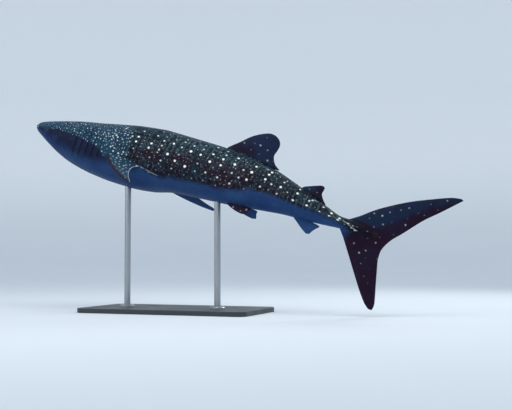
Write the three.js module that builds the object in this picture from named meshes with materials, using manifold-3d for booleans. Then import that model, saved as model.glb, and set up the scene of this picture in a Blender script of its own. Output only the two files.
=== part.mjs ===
// A life-size still model of a whale shark, swimming with its head raised, on a plain display stand.
// Millimetres, +Z up. The snout points to -X and the animal's left side faces -Y.
// The origin is the centre of the underside of the stand's base.
// The body is first described straight: s runs back from the tip of the snout, y to the left, z up.
// The swimming pose (sway, bank and pitch) then carries each point into place.

import * as THREE from 'three';
import { mergeVertices } from 'three/addons/utils/BufferGeometryUtils.js';
import Module from 'manifold-3d';

const wasm = await Module();
wasm.setup();

// Pose
const PITCH = THREE.MathUtils.degToRad(17.8); // head raised
const BANK = THREE.MathUtils.degToRad(6); // left side raised
const SWAY_HEAD = 2; // degrees that the heading swings at the snout
const SWAY_TAIL = 6; // degrees added towards the tail
const SWAY_WAVES = 0.9; // waves along the body
const SWAY_PHASE = 0.68;
const BODY_LENGTH = 8760;

// Division and fit
const GAP = 0.3; // between neighbouring pieces
const HEAD_END = 1925;
const TORSO_SPLIT = 4130;
const TORSO_END = 5640;
const STALK_END = 6945;
const LOFT_END = 7560; // the stalk runs on inside the tail fin to here

// Stand
const AXIS_HEIGHT = 2790; // height of the body's axis above the middle of the base
const STAND_STATION = 3300; // s of the axis point above the middle of the base
const BASE_LENGTH = 3500;
const BASE_WIDTH = 1900;
const BASE_HEIGHT = 90;
const BASE_CORNER = 160;
const BASE_BEVEL = 12;
const ROD_RADIUS = 62;
const ROD_COLLAR_RADIUS = 150;
const ROD_COLLAR_HEIGHT = 36;
const ROD_COLLAR_BEVEL = 14;
const ROD_SIDES = 32;
const ROD_STATIONS = { front: 2380, rear: 4360 };
const ROD_SINK = 160; // how far a rod is drawn into the belly before it is trimmed to it

// Colours
const BACK = { color: 0x27363a, roughness: 0.55, metalness: 0 };
const FIN = { color: 0x222c31, roughness: 0.55, metalness: 0 };
const EYE = { color: 0x0b0d0f, roughness: 0.15, metalness: 0 };
const STEEL = { color: 0x8d9296, roughness: 0.35, metalness: 0.9 };
const PAINT = { color: 0x2c2f33, roughness: 0.5, metalness: 0.1 };

// Outline of the trunk: s, crown, belly, half width, level of the widest line
const TRUNK = [
  [0, 106, -92, 560, -5],
  [200, 158, -168, 580, -10],
  [400, 218, -268, 602, -20],
  [700, 308, -412, 632, -35],
  [1050, 398, -522, 662, -50],
  [1500, 484, -592, 690, -50],
  [1950, 580, -618, 700, -20],
  [2400, 662, -612, 686, 20],
  [2870, 706, -560, 650, 60],
  [3340, 704, -448, 596, 100],
  [4020, 698, -386, 505, 120],
  [4550, 670, -342, 430, 120],
  [5050, 604, -282, 352, 110],
  [5370, 536, -242, 300, 95],
  [5770, 414, -198, 238, 80],
  [6150, 292, -182, 190, 50],
  [6460, 188, -164, 165, 20],
  [6850, 84, -128, 138, -5],
  [7150, 84, -112, 95, -30],
  [7560, 40, -130, 26, -60],
];
const UPPER_FULLNESS = [[0, 2.3], [1200, 2.3], [2600, 2.1], [5600, 2.0], [7560, 2.0]];
const LOWER_FULLNESS = [[0, 2.3], [1200, 2.4], [3000, 2.3], [5600, 2.1], [7560, 2.0]];
const SNOUT_PLAN = { length: 520, fullness: 2.12 }; // rounding seen from above
const SNOUT_SIDE = { length: 120, fullness: 2.0 }; // rounding seen from the side

// Ridges: angle above the widest line and height along the body. The lowest grows into the tail's keel.
const RIDGES = [
  {
    angle: [[0, 58], [2000, 60], [6000, 62], [7560, 62]],
    height: [[2000, 0], [2900, 15], [5000, 13], [6200, 0]],
  },
  {
    angle: [[0, 30], [2000, 38], [6000, 34], [7560, 34]],
    height: [[2000, 0], [2900, 17], [5200, 15], [6500, 0]],
  },
  {
    angle: [[0, 0], [400, 0], [2000, 15], [3200, 16], [5200, 10], [6300, 0], [7560, -2]],
    height: [[1900, 0], [2900, 17], [5000, 22], [6300, 48], [6800, 96], [7100, 92], [7560, 0]],
  },
];
const RIDGE_CREST = 1.5; // power of the fall from the crest, sharper when larger
const RIDGE_SPREAD = [[0, 4.5], [5000, 6], [6300, 14], [6900, 20], [7560, 20]]; // degrees from crest to foot
const CROWN_RIDGE = [[2000, 0], [3000, 15], [5600, 12], [6700, 0]];
const CROWN_SPREAD = 7;

// Gills: five slits on each side, each behind a raised flap
const GILL_FIRST = 1270;
const GILL_STEP = 146;
const GILL_COUNT = 5;
const GILL_LOW = [-34, -20]; // degrees below the widest line, first and last slit
const GILL_HIGH = [44, 30];
const GILL_BOW = 46; // how far the ends of a slit lie ahead of its middle
const GILL_FLAP = 14; // rise of the flap
const GILL_DEPTH = 26;
const GILL_LIP = 4; // length of the steep face under the flap
const GILL_BACK = 18; // length of the slope behind it
const GILL_AHEAD = 110; // length of the flap's own rise
const GILL_FADE = 5; // degrees over which the ends of a slit fade

// Mouth, nostrils and eyes
const MOUTH_CORNER = 375; // s of the corners
const MOUTH_LEVEL = -8;
const MOUTH_DROP = 26; // how much lower the corners are
const MOUTH_GAP = [18, 7]; // height of the slot in the middle and at the corners
const MOUTH_DEPTH = [90, 34];
const LIP_RISE = 13;
const LIP_SPREAD = 34;
const LIP_FADE = [-60, 120]; // where the lips fade out, from the corners of the mouth
const MOUTH_PATH = [0.03, 0.1, 0.25, 0.46, 0.72, 1]; // sections of the slot, as shares of the way to a corner
const NOSTRIL = { s: 78, angle: 20, length: 30, height: 15 }; // angle above the widest line
const BARBEL = { s: 66, angle: 15, length: 40, radius: 9, tip: 0.35, curl: 24 };
const EYE_RADIUS = 33;
const EYE_AT = { s: 515, z: -32, proud: 13 };
const SOCKET_ROOM = 0.45; // all round the eye
const SPIRACLE = { s: 760, z: 26, radius: 17 };

// Fins: each row is one chord, from the leading edge to the trailing edge, and its thickness.
// Fins on the midline: s and z of the leading edge, s and z of the trailing edge, thickness
const DORSAL_FIRST = [
  [4140, 560, 5010, 470, 104],
  [4190, 712, 5060, 588, 104],
  [4290, 800, 5364, 566, 100],
  [4425, 905, 5248, 664, 92],
  [4570, 1030, 5177, 800, 82],
  [4700, 1112, 5206, 920, 68],
  [4840, 1176, 5222, 1020, 54],
  [4950, 1208, 5196, 1104, 40],
  [5050, 1203, 5132, 1168, 22],
];
const DORSAL_SECOND = [
  [5880, 330, 6220, 190, 50],
  [5925, 404, 6235, 262, 50],
  [6000, 440, 6440, 196, 46],
  [6080, 470, 6366, 286, 40],
  [6160, 498, 6312, 375, 32],
  [6235, 524, 6322, 450, 24],
  [6290, 528, 6330, 500, 14],
];
const ANAL = [
  [5890, -110, 6240, -90, 44],
  [5920, -184, 6262, -160, 44],
  [6010, -250, 6455, -206, 40],
  [6095, -312, 6400, -280, 34],
  [6170, -364, 6352, -340, 26],
  [6250, -410, 6318, -400, 14],
];
const TAIL_FIN = [
  [8724, 1036, 8772, 1014, 12],
  [8545, 1000, 8665, 906, 26],
  [8214, 864, 8462, 700, 44],
  [7890, 716, 8205, 450, 62],
  [7575, 538, 7940, 130, 82],
  [7330, 376, 7798, -30, 96],
  [7115, 202, 7712, -166, 104],
  [6900, 50, 7668, -274, 100],
  [6815, -90, 7660, -374, 96],
  [6943, -270, 7668, -484, 92],
  [7130, -535, 7708, -654, 84],
  [7346, -845, 7768, -904, 66],
  [7522, -1092, 7822, -1116, 46],
  [7664, -1268, 7850, -1262, 28],
  [7766, -1352, 7832, -1356, 12],
];
// Pectoral fins, lying flat: distance back and out from the front of the root, then the same for the
// trailing edge, thickness
const PECTORAL = [
  [-42, -239, 634, -260, 150],
  [0, 0, 704, -38, 142],
  [99, 198, 772, 72, 128],
  [229, 385, 768, 242, 110],
  [400, 582, 826, 436, 92],
  [614, 806, 934, 668, 76],
  [848, 1019, 1070, 896, 60],
  [1061, 1186, 1204, 1092, 44],
  [1210, 1284, 1322, 1232, 30],
  [1296, 1338, 1366, 1306, 16],
];
const PECTORAL_ROOT = { s: 2060, y: 660, z: -150 };
// How each fin is held: degrees turned back in its own plane and drooped, and how much its trailing edge
// is lower than its leading edge, per length
const PECTORAL_HOLD = {
  left: { back: 0.7, droop: 17.2, rake: 0.03 },
  right: { back: 4, droop: 32, rake: -0.3 },
};
// Pelvic fins, for the left side: s, y and z of the leading edge, then of the trailing edge, thickness
const PELVIC = [
  [4570, 120, -240, 4880, 100, -200, 46],
  [4610, 200, -306, 4930, 150, -258, 46],
  [4700, 238, -356, 5130, 160, -280, 42],
  [4800, 266, -394, 5124, 214, -340, 34],
  [4910, 288, -424, 5124, 258, -388, 24],
  [5020, 300, -440, 5118, 288, -424, 12],
];
const CHORD_STEPS = [0, 0.05, 0.17, 0.36, 0.6, 0.83, 1];
const CHORDS_BETWEEN_ROWS = 2;
const NEARBY = 0.05; // share of a row to each side over which the span's direction is taken

const rad = THREE.MathUtils.degToRad;
const lerp = THREE.MathUtils.lerp;
const smooth = THREE.MathUtils.smoothstep;

// A smooth curve through [place, value] pairs that never overshoots them.
function curve(pairs) {
  const x = pairs.map((pair) => pair[0]);
  const v = pairs.map((pair) => pair[1]);
  const slope = x.slice(1).map((_, i) => (v[i + 1] - v[i]) / (x[i + 1] - x[i]));
  const tangent = x.map((_, i) => {
    if (i === 0) return slope[0];
    if (i === x.length - 1) return slope[i - 1];
    const a = slope[i - 1];
    const b = slope[i];
    return a * b <= 0 ? 0 : (2 * a * b) / (a + b);
  });
  return (place) => {
    if (place <= x[0]) return v[0];
    if (place >= x[x.length - 1]) return v[v.length - 1];
    const i = x.findIndex((value) => value > place) - 1;
    const h = x[i + 1] - x[i];
    const t = (place - x[i]) / h;
    return (
      v[i] * (1 + 2 * t) * (1 - t) ** 2 +
      tangent[i] * h * t * (1 - t) ** 2 +
      v[i + 1] * t * t * (3 - 2 * t) +
      tangent[i + 1] * h * t * t * (t - 1)
    );
  };
}

const trunkColumn = (index) => curve(TRUNK.map((row) => [row[0], row[index]]));
const crownAt = trunkColumn(1);
const bellyAt = trunkColumn(2);
const widthAt = trunkColumn(3);
const waistAt = trunkColumn(4);
const upperFullness = curve(UPPER_FULLNESS);
const lowerFullness = curve(LOWER_FULLNESS);
const ridgeSpread = curve(RIDGE_SPREAD);
const crownRidge = curve(CROWN_RIDGE);
const ridges = RIDGES.map((ridge) => ({ angle: curve(ridge.angle), height: curve(ridge.height) }));

// How far the snout has opened out at s, from 0 at its tip to 1.
function snoutOpening(s, { length, fullness }) {
  const left = Math.max(0, 1 - s / length);
  return (1 - left ** fullness) ** (1 / fullness);
}

// The trunk without relief: angle is 0 on the left widest line, 90 at the crown, -90 at the belly.
function plainPoint(s, angle) {
  const side = snoutOpening(s, SNOUT_SIDE);
  const halfWidth = widthAt(s) * snoutOpening(s, SNOUT_PLAN);
  const waist = waistAt(s);
  const c = Math.cos(rad(angle));
  const d = Math.sin(rad(angle));
  const fullness = d >= 0 ? upperFullness(s) : lowerFullness(s);
  const rise = (d >= 0 ? crownAt(s) - waist : waist - bellyAt(s)) * side;
  const y = halfWidth * Math.sign(c) * Math.abs(c) ** (2 / fullness);
  const z = waist + rise * Math.sign(d) * Math.abs(d) ** (2 / fullness);
  return new THREE.Vector3(s, y, z);
}

// The angle from the widest line, the same on both sides.
const sideAngle = (angle) => (angle > 90 ? 180 - angle : angle < -90 ? -180 - angle : angle);

const gillShare = (i) => i / (GILL_COUNT - 1);
const gillLow = (i) => lerp(GILL_LOW[0], GILL_LOW[1], gillShare(i));
const gillHigh = (i) => lerp(GILL_HIGH[0], GILL_HIGH[1], gillShare(i));
function gillBow(angle) {
  const middle = (GILL_HIGH[0] + GILL_LOW[0]) / 2;
  const half = (GILL_HIGH[0] - GILL_LOW[0]) / 2;
  return GILL_BOW * Math.max(0, 1 - ((sideAngle(angle) - middle) / half) ** 2) - GILL_BOW;
}

function gillRelief(s, angle) {
  const at = sideAngle(angle);
  let rise = 0;
  for (let i = 0; i < GILL_COUNT; i += 1) {
    const behind = s - (GILL_FIRST + i * GILL_STEP + gillBow(angle));
    const aboveLow = smooth(at, gillLow(i) - GILL_FADE, gillLow(i) + GILL_FADE);
    const belowHigh = 1 - smooth(at, gillHigh(i) - GILL_FADE, gillHigh(i) + GILL_FADE);
    const inside = aboveLow * belowHigh;
    if (behind > -GILL_AHEAD && behind <= 0) rise += inside * GILL_FLAP * (1 + behind / GILL_AHEAD) ** 2;
    if (behind > 0 && behind <= GILL_LIP) rise += inside * lerp(GILL_FLAP, -GILL_DEPTH, behind / GILL_LIP);
    if (behind > GILL_LIP && behind < GILL_BACK) {
      rise -= inside * GILL_DEPTH * (1 - (behind - GILL_LIP) / (GILL_BACK - GILL_LIP));
    }
  }
  return rise;
}

const mouthLevel = (s) => MOUTH_LEVEL - MOUTH_DROP * smooth(s, 0, MOUTH_CORNER);

function relief(s, angle) {
  const at = sideAngle(angle);
  let rise = gillRelief(s, angle);
  for (const ridge of ridges) {
    const off = Math.abs(at - ridge.angle(s)) / ridgeSpread(s);
    if (off < 1) rise += ridge.height(s) * (1 - off) ** RIDGE_CREST;
  }
  const offCrown = (90 - at) / CROWN_SPREAD;
  if (offCrown < 1) rise += crownRidge(s) * (1 - offCrown) ** RIDGE_CREST;
  const offMouth = (plainPoint(s, angle).z - mouthLevel(s)) / LIP_SPREAD;
  const fade = 1 - smooth(s, MOUTH_CORNER + LIP_FADE[0], MOUTH_CORNER + LIP_FADE[1]);
  rise += LIP_RISE * fade * Math.exp(-(offMouth ** 2));
  return rise;
}

// A point of the skin, raised along its normal by the relief and by extra.
function skinPoint(s, angle, extra = 0, keepStation = false) {
  const step = 1;
  const point = plainPoint(s, angle);
  if (s < step) return point.add(new THREE.Vector3(-relief(s, angle) - extra, 0, 0));
  const along = plainPoint(s + step, angle).sub(plainPoint(s - step, angle));
  const around = plainPoint(s, angle + 0.5).sub(plainPoint(s, angle - 0.5));
  const normal = around.cross(along).normalize();
  point.addScaledVector(normal, relief(s, angle) + extra);
  if (keepStation) point.x = s;
  return point;
}

// Heading of the swaying axis, in radians, and the axis itself.
function heading(s) {
  const share = s / BODY_LENGTH;
  const swing = SWAY_HEAD + SWAY_TAIL * share ** 2;
  return rad(swing) * Math.cos(2 * Math.PI * SWAY_WAVES * share + SWAY_PHASE);
}
const AXIS_STEP = 10;
const axis = [new THREE.Vector2(0, 0)];
for (let s = 0; s < BODY_LENGTH + 200; s += AXIS_STEP) {
  const h = heading(s + AXIS_STEP / 2);
  const last = axis[axis.length - 1];
  axis.push(new THREE.Vector2(last.x + Math.cos(h) * AXIS_STEP, last.y + Math.sin(h) * AXIS_STEP));
}
function axisPoint(s) {
  if (s <= 0) return new THREE.Vector2(s * Math.cos(heading(0)), s * Math.sin(heading(0)));
  const i = Math.floor(s / AXIS_STEP);
  return axis[i].clone().lerp(axis[i + 1], s / AXIS_STEP - i);
}

const turn = new THREE.Matrix4().makeRotationY(PITCH).multiply(new THREE.Matrix4().makeRotationX(-BANK));
function swung(point) {
  const centre = axisPoint(point.x);
  const h = heading(Math.max(0, point.x));
  const x = centre.x + point.y * Math.sin(h);
  const y = centre.y - point.y * Math.cos(h);
  return new THREE.Vector3(x, y, point.z).applyMatrix4(turn);
}
const overStand = swung(new THREE.Vector3(STAND_STATION, 0, 0));
const shift = new THREE.Vector3(-overStand.x, -overStand.y, AXIS_HEIGHT - overStand.z);

// Carries a point of the straight body to its place in the pose.
function posed(point) {
  return swung(point).add(shift);
}

// A closed solid through rings of points, each end closed by a fan. Both halves of a ring are split alike.
function loft(rings) {
  const count = rings[0].length;
  const points = rings.flat();
  const faces = [];
  for (let i = 0; i < rings.length - 1; i += 1) {
    for (let k = 0; k < count; k += 1) {
      const a = i * count + k;
      const b = i * count + ((k + 1) % count);
      const c = b + count;
      const d = a + count;
      if (k < count / 2) faces.push([a, b, c], [a, c, d]);
      else faces.push([a, b, d], [b, c, d]);
    }
  }
  for (const [start, forward] of [[0, false], [(rings.length - 1) * count, true]]) {
    const middle = new THREE.Vector3();
    for (let k = 0; k < count; k += 1) middle.addScaledVector(points[start + k], 1 / count);
    points.push(middle);
    for (let k = 0; k < count; k += 1) {
      const a = start + k;
      const b = start + ((k + 1) % count);
      faces.push(forward ? [a, b, points.length - 1] : [b, a, points.length - 1]);
    }
  }
  return solid(points, faces);
}

function solid(points, faces) {
  let volume = 0;
  for (const [a, b, c] of faces) {
    volume += points[a].dot(new THREE.Vector3().crossVectors(points[b], points[c]));
  }
  const outward = volume > 0 ? faces : faces.map(([a, b, c]) => [a, c, b]);
  const vertProperties = new Float32Array(points.flatMap((point) => point.toArray()));
  const triVerts = new Uint32Array(outward.flat());
  return new wasm.Manifold(new wasm.Mesh({ numProp: 3, vertProperties, triVerts }));
}

// A shape's own triangles as a closed solid.
function fromGeometry(geometry) {
  const bare = geometry.clone();
  bare.deleteAttribute('normal');
  bare.deleteAttribute('uv');
  const merged = mergeVertices(bare, 1e-3);
  return new wasm.Manifold(
    new wasm.Mesh({
      numProp: 3,
      vertProperties: new Float32Array(merged.attributes.position.array),
      triVerts: new Uint32Array(merged.index.array),
    }),
  );
}

const largest = (shape) => shape.decompose().sort((a, b) => b.volume() - a.volume())[0];

function meshOf(name, shape, finish) {
  const { vertProperties, triVerts } = shape.getMesh();
  const geometry = new THREE.BufferGeometry();
  geometry.setAttribute('position', new THREE.BufferAttribute(new Float32Array(vertProperties), 3));
  geometry.setIndex(new THREE.BufferAttribute(new Uint32Array(triVerts), 1));
  geometry.computeVertexNormals();
  const mesh = new THREE.Mesh(geometry, new THREE.MeshStandardMaterial(finish));
  mesh.name = name;
  return mesh;
}

// Angles of one ring: the crown, each ridge with its two feet, and even steps down to the belly.
const STEPS_TO_BELLY = 6;
function ringAngles(s) {
  const spread = ridgeSpread(s);
  const left = [90, 90 - CROWN_SPREAD];
  for (const ridge of ridges) {
    const crest = ridge.angle(s);
    left.push(crest + spread, crest, crest - spread);
  }
  const lowest = left[left.length - 1];
  for (let i = 1; i < STEPS_TO_BELLY; i += 1) left.push(lerp(lowest, -90, i / STEPS_TO_BELLY));
  const right = left.slice(1).map((angle) => 180 - angle).reverse();
  return [...left, -90, ...right];
}

// A ring of the skin at s. Where bowed is true it follows the curve of the gill slits.
function ring(s, { bowed = false, extra = 0, keepStation = false } = {}) {
  return ringAngles(s).map((angle) => {
    const station = s + (bowed ? gillBow(angle) : 0);
    return posed(skinPoint(station, angle, extra, keepStation));
  });
}

const SNOUT_STATIONS = [4, 16, 38, 72, 118, 180, 260, 350, 450];
const HEAD_START = 570; // first station behind the snout
const HEAD_STEP = 130;
const CLEAR_OF_GILLS = 100; // between the last of these and the first slit
const TRUNK_STEP = 118;
const SLIT_STATIONS = [-45, 0, GILL_LIP, GILL_BACK]; // round each slit

// Stations of the whole trunk, closest together on the snout and at the gills, with one at each cut.
const CUTS = [HEAD_END, TORSO_SPLIT, TORSO_END];
const CUT_MARGIN = 30; // no other station lies closer to a cut
function allStations() {
  const list = SNOUT_STATIONS.map((s) => ({ s }));
  for (let s = HEAD_START; s < GILL_FIRST - CLEAR_OF_GILLS; s += HEAD_STEP) list.push({ s });
  for (let i = 0; i < GILL_COUNT; i += 1) {
    const slit = GILL_FIRST + i * GILL_STEP;
    for (const off of SLIT_STATIONS) list.push({ s: slit + off, bowed: true });
  }
  for (let s = HEAD_END + TRUNK_STEP; s < LOFT_END; s += TRUNK_STEP) list.push({ s });
  const clear = list.filter(({ s }) => CUTS.every((cut) => Math.abs(s - cut) > CUT_MARGIN));
  return [...clear, ...CUTS.map((s) => ({ s, keepStation: true }))].sort((a, b) => a.s - b.s);
}
const stations = allStations();

// One length of the trunk between two cuts, or the whole of it, larger by extra.
function trunk(from, to, extra = 0) {
  const rings = stations
    .filter(({ s }) => s > from + GAP && s < to - GAP)
    .map(({ s, bowed, keepStation }) => ring(s, { bowed, keepStation, extra }));
  if (from > 0) rings.unshift(ring(from, { extra, keepStation: true }));
  rings.push(ring(to, { extra, keepStation: true }));
  return loft(rings);
}

// Value of each column between the rows of a table (Catmull-Rom).
function between(rows, place) {
  const i = Math.min(Math.floor(place), rows.length - 2);
  const t = place - i;
  const row = (index) => rows[THREE.MathUtils.clamp(index, 0, rows.length - 1)];
  return rows[0].map((_, column) => {
    const [a, b, c, d] = [row(i - 1), row(i), row(i + 1), row(i + 2)].map((values) => values[column]);
    return b + 0.5 * t * (c - a + t * (2 * a - 5 * b + 4 * c - d + t * (3 * (b - c) + d - a)));
  });
}

// Half thickness along the chord: round in front, thickest at a third, thin behind.
const FOIL_SCALE = 1.299; // makes the largest half thickness half of the whole
const foil = (share) => FOIL_SCALE * Math.sqrt(share) * (1 - share);

// A blade through the chords of a table of rows [lead, trail, thickness].
function blade(rows, chordEnds) {
  const rings = [];
  const last = rows.length - 1;
  for (let j = 0; j <= last * CHORDS_BETWEEN_ROWS; j += 1) {
    const place = j / CHORDS_BETWEEN_ROWS;
    const { lead, trail, thick } = chordEnds(between(rows, place));
    const before = chordEnds(between(rows, Math.max(0, place - NEARBY)));
    const after = chordEnds(between(rows, Math.min(last, place + NEARBY)));
    const span = after.lead.clone().add(after.trail).sub(before.lead).sub(before.trail);
    const normal = span.cross(trail.clone().sub(lead)).normalize();
    const at = (share, side) => {
      const along = lead.clone().lerp(trail, share);
      return along.addScaledVector(normal, side * thick * foil(share));
    };
    const upper = CHORD_STEPS.slice(0, -1).map((share) => at(share, 1));
    const lower = CHORD_STEPS.slice(1).reverse().map((share) => at(share, -1));
    rings.push([...upper, ...lower].map(posed));
  }
  return loft(rings);
}

// The fin stands a little off the midline, so that its edges don't run exactly along the trunk's own.
const OFF_MIDLINE = 6.4;
function midlineFin(rows) {
  return blade(rows, ([leadS, leadZ, trailS, trailZ, thick]) => ({
    lead: new THREE.Vector3(leadS, OFF_MIDLINE, leadZ),
    trail: new THREE.Vector3(trailS, OFF_MIDLINE, trailZ),
    thick,
  }));
}

// side is 1 on the left and -1 on the right.
function pectoralFin(side, { back, droop, rake }) {
  const hold = new THREE.Matrix4()
    .makeRotationX(rad(-droop))
    .multiply(new THREE.Matrix4().makeRotationZ(rad(-back)));
  const at = (aft, out) => {
    const point = new THREE.Vector3(aft, out, -rake * aft).applyMatrix4(hold);
    const { s, y, z } = PECTORAL_ROOT;
    return new THREE.Vector3(s + point.x, side * (y + point.y), z + point.z);
  };
  return blade(PECTORAL, ([leadAft, leadOut, trailAft, trailOut, thick]) => ({
    lead: at(leadAft, leadOut),
    trail: at(trailAft, trailOut),
    thick,
  }));
}

function pelvicFin(side) {
  return blade(PELVIC, ([leadS, leadY, leadZ, trailS, trailY, trailZ, thick]) => ({
    lead: new THREE.Vector3(leadS, side * leadY, leadZ),
    trail: new THREE.Vector3(trailS, side * trailY, trailZ),
    thick,
  }));
}

// Half width of the head on the plan outline, with the direction that faces out of it.
function planOutline(s, side) {
  const step = 2;
  const y = (at) => widthAt(at) * snoutOpening(at, SNOUT_PLAN);
  const slope = (y(s + step) - y(Math.max(0, s - step))) / (s < step ? s + step : 2 * step);
  return { point: new THREE.Vector2(s, side * y(s)), out: new THREE.Vector2(-slope, side).normalize() };
}

// The slot of the mouth, a thin curved wedge from corner to corner round the front of the snout.
function mouthSlot() {
  const reach = 60;
  const innerHeight = 3;
  const left = MOUTH_PATH.map((share) => [share, 1]).reverse();
  const right = MOUTH_PATH.map((share) => [share, -1]);
  const stops = [...left, [0, 1], ...right];
  const rings = stops.map(([share, side]) => {
    const s = share * MOUTH_CORNER;
    const { point, out } = planOutline(s, side);
    if (share === 0) out.set(-1, 0);
    const depth = lerp(MOUTH_DEPTH[0], MOUTH_DEPTH[1], share);
    const gap = lerp(MOUTH_GAP[0], MOUTH_GAP[1], share);
    const level = mouthLevel(s);
    const inner = point.clone().addScaledVector(out, -depth);
    const outer = point.clone().addScaledVector(out, reach);
    const half = (gap / 2) * (1 + reach / depth);
    return [
      new THREE.Vector3(inner.x, inner.y, level + innerHeight / 2),
      new THREE.Vector3(outer.x, outer.y, level + half),
      new THREE.Vector3(outer.x, outer.y, level - half),
      new THREE.Vector3(inner.x, inner.y, level - innerHeight / 2),
    ].map(posed);
  });
  return loft(rings);
}

// A ball at a point of the straight body. One with a scale is stretched and follows the pitch.
const BALL_SIDES = [20, 12];
function ball(radius, at, scale = null) {
  const geometry = new THREE.SphereGeometry(radius, ...BALL_SIDES);
  if (scale) geometry.scale(...scale).rotateY(PITCH);
  const place = posed(at);
  return fromGeometry(geometry.translate(place.x, place.y, place.z));
}

// A point of the skin on either side, at an angle above the widest line.
const skinOnSide = (s, angle, side) => skinPoint(s, side > 0 ? angle : 180 - angle);

// A short skin barbel that hangs in front of a nostril and curls out from the snout.
function barbel(side) {
  const root = skinOnSide(BARBEL.s, BARBEL.angle, side);
  const { out } = planOutline(BARBEL.s, side);
  const steps = 4;
  const sides = 8;
  const rings = [];
  for (let i = 0; i <= steps; i += 1) {
    const share = i / steps;
    const clear = BARBEL.curl * Math.sin(0.7 * Math.PI * share);
    const centre = root.clone().add(new THREE.Vector3(out.x * clear, out.y * clear, -BARBEL.length * share));
    const radius = BARBEL.radius * lerp(1, BARBEL.tip, share);
    const circle = [];
    for (let k = 0; k < sides; k += 1) {
      const a = (k / sides) * 2 * Math.PI;
      const spoke = new THREE.Vector3(radius * Math.cos(a), radius * Math.sin(a), 0);
      circle.push(posed(centre.clone().add(spoke)));
    }
    rings.push(circle);
  }
  return loft(rings);
}

const eyeCentre = (side) =>
  new THREE.Vector3(EYE_AT.s, side * (widthAt(EYE_AT.s) + EYE_AT.proud - EYE_RADIUS), EYE_AT.z);

function head() {
  let shape = trunk(0, HEAD_END - GAP / 2);
  shape = shape.subtract(mouthSlot());
  for (const side of [1, -1]) {
    const nostril = skinOnSide(NOSTRIL.s, NOSTRIL.angle, side);
    const spiracle = new THREE.Vector3(SPIRACLE.s, side * widthAt(SPIRACLE.s), SPIRACLE.z);
    shape = shape.subtract(ball(NOSTRIL.height, nostril, [1, NOSTRIL.length / NOSTRIL.height, 1]));
    shape = shape.subtract(ball(SPIRACLE.radius, spiracle));
    shape = shape.subtract(ball(EYE_RADIUS + SOCKET_ROOM, eyeCentre(side)));
    shape = shape.add(barbel(side));
  }
  return largest(shape);
}

// A large block that holds everything on one side of the plane through three posed points.
const BLOCK = 6000;
const PLANE_REACH = 300; // between the points that fix a plane
function halfSpace(a, b, c, towards) {
  const normal = b.clone().sub(a).cross(c.clone().sub(a)).normalize();
  if (normal.dot(towards.clone().sub(a)) < 0) normal.negate();
  const geometry = new THREE.BoxGeometry(BLOCK, BLOCK, BLOCK);
  geometry.translate(0, 0, BLOCK / 2 + GAP / 2);
  const face = new THREE.Quaternion().setFromUnitVectors(new THREE.Vector3(0, 0, 1), normal);
  geometry.applyQuaternion(face);
  geometry.translate(a.x, a.y, a.z);
  return fromGeometry(geometry);
}

// Tail stalk and tail fin are one form, parted behind the stalk and along the line from there to the fork.
const FORK = new THREE.Vector3(7660, 0, -330);
const MIDDLE_OF_STALK = new THREE.Vector3(STALK_END, 0, -20);
const UPPER_LOBE = new THREE.Vector3(8000, 0, 600);
const LOWER_LOBE = new THREE.Vector3(7600, 0, -1000);
function tailPieces() {
  const whole = trunk(TORSO_END + GAP / 2, LOFT_END).add(midlineFin(TAIL_FIN));
  const corner = [[0, 0], [PLANE_REACH, 0], [0, PLANE_REACH]].map(([y, z]) => {
    return posed(new THREE.Vector3(STALK_END, y, z));
  });
  const front = halfSpace(...corner, posed(new THREE.Vector3(TORSO_END, 0, 0)));
  const rear = halfSpace(...corner, posed(FORK));
  const line = [
    posed(MIDDLE_OF_STALK),
    posed(FORK),
    posed(MIDDLE_OF_STALK.clone().setY(PLANE_REACH)),
  ];
  const above = halfSpace(...line, posed(UPPER_LOBE));
  const below = halfSpace(...line, posed(LOWER_LOBE));
  return {
    stalk: largest(whole.intersect(front)),
    upper: largest(whole.intersect(rear).intersect(above)),
    lower: largest(whole.intersect(rear).intersect(below)),
  };
}

const shark = new THREE.Group();
const clearance = trunk(0, LOFT_END, GAP);
const rootedOn = (fin) => largest(fin.subtract(clearance));
const tail = tailPieces();

shark.add(
  meshOf('head', head(), BACK),
  meshOf('torso_front', trunk(HEAD_END + GAP / 2, TORSO_SPLIT - GAP / 2), BACK),
  meshOf('torso_rear', trunk(TORSO_SPLIT + GAP / 2, TORSO_END - GAP / 2), BACK),
  meshOf('tail_stalk', tail.stalk, BACK),
  meshOf('tail_fin_upper', tail.upper, FIN),
  meshOf('tail_fin_lower', tail.lower, FIN),
  meshOf('dorsal_fin_first', rootedOn(midlineFin(DORSAL_FIRST)), FIN),
  meshOf('dorsal_fin_second', rootedOn(midlineFin(DORSAL_SECOND)), FIN),
  meshOf('anal_fin', rootedOn(midlineFin(ANAL)), FIN),
  meshOf('pectoral_fin_left', rootedOn(pectoralFin(1, PECTORAL_HOLD.left)), FIN),
  meshOf('pectoral_fin_right', rootedOn(pectoralFin(-1, PECTORAL_HOLD.right)), FIN),
  meshOf('pelvic_fin_left', rootedOn(pelvicFin(1)), FIN),
  meshOf('pelvic_fin_right', rootedOn(pelvicFin(-1)), FIN),
);

for (const [name, side] of [['eye_left', 1], ['eye_right', -1]]) {
  const eye = new THREE.Mesh(
    new THREE.SphereGeometry(EYE_RADIUS, ...BALL_SIDES),
    new THREE.MeshStandardMaterial(EYE),
  );
  eye.name = name;
  eye.position.copy(posed(eyeCentre(side)));
  shark.add(eye);
}

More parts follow.
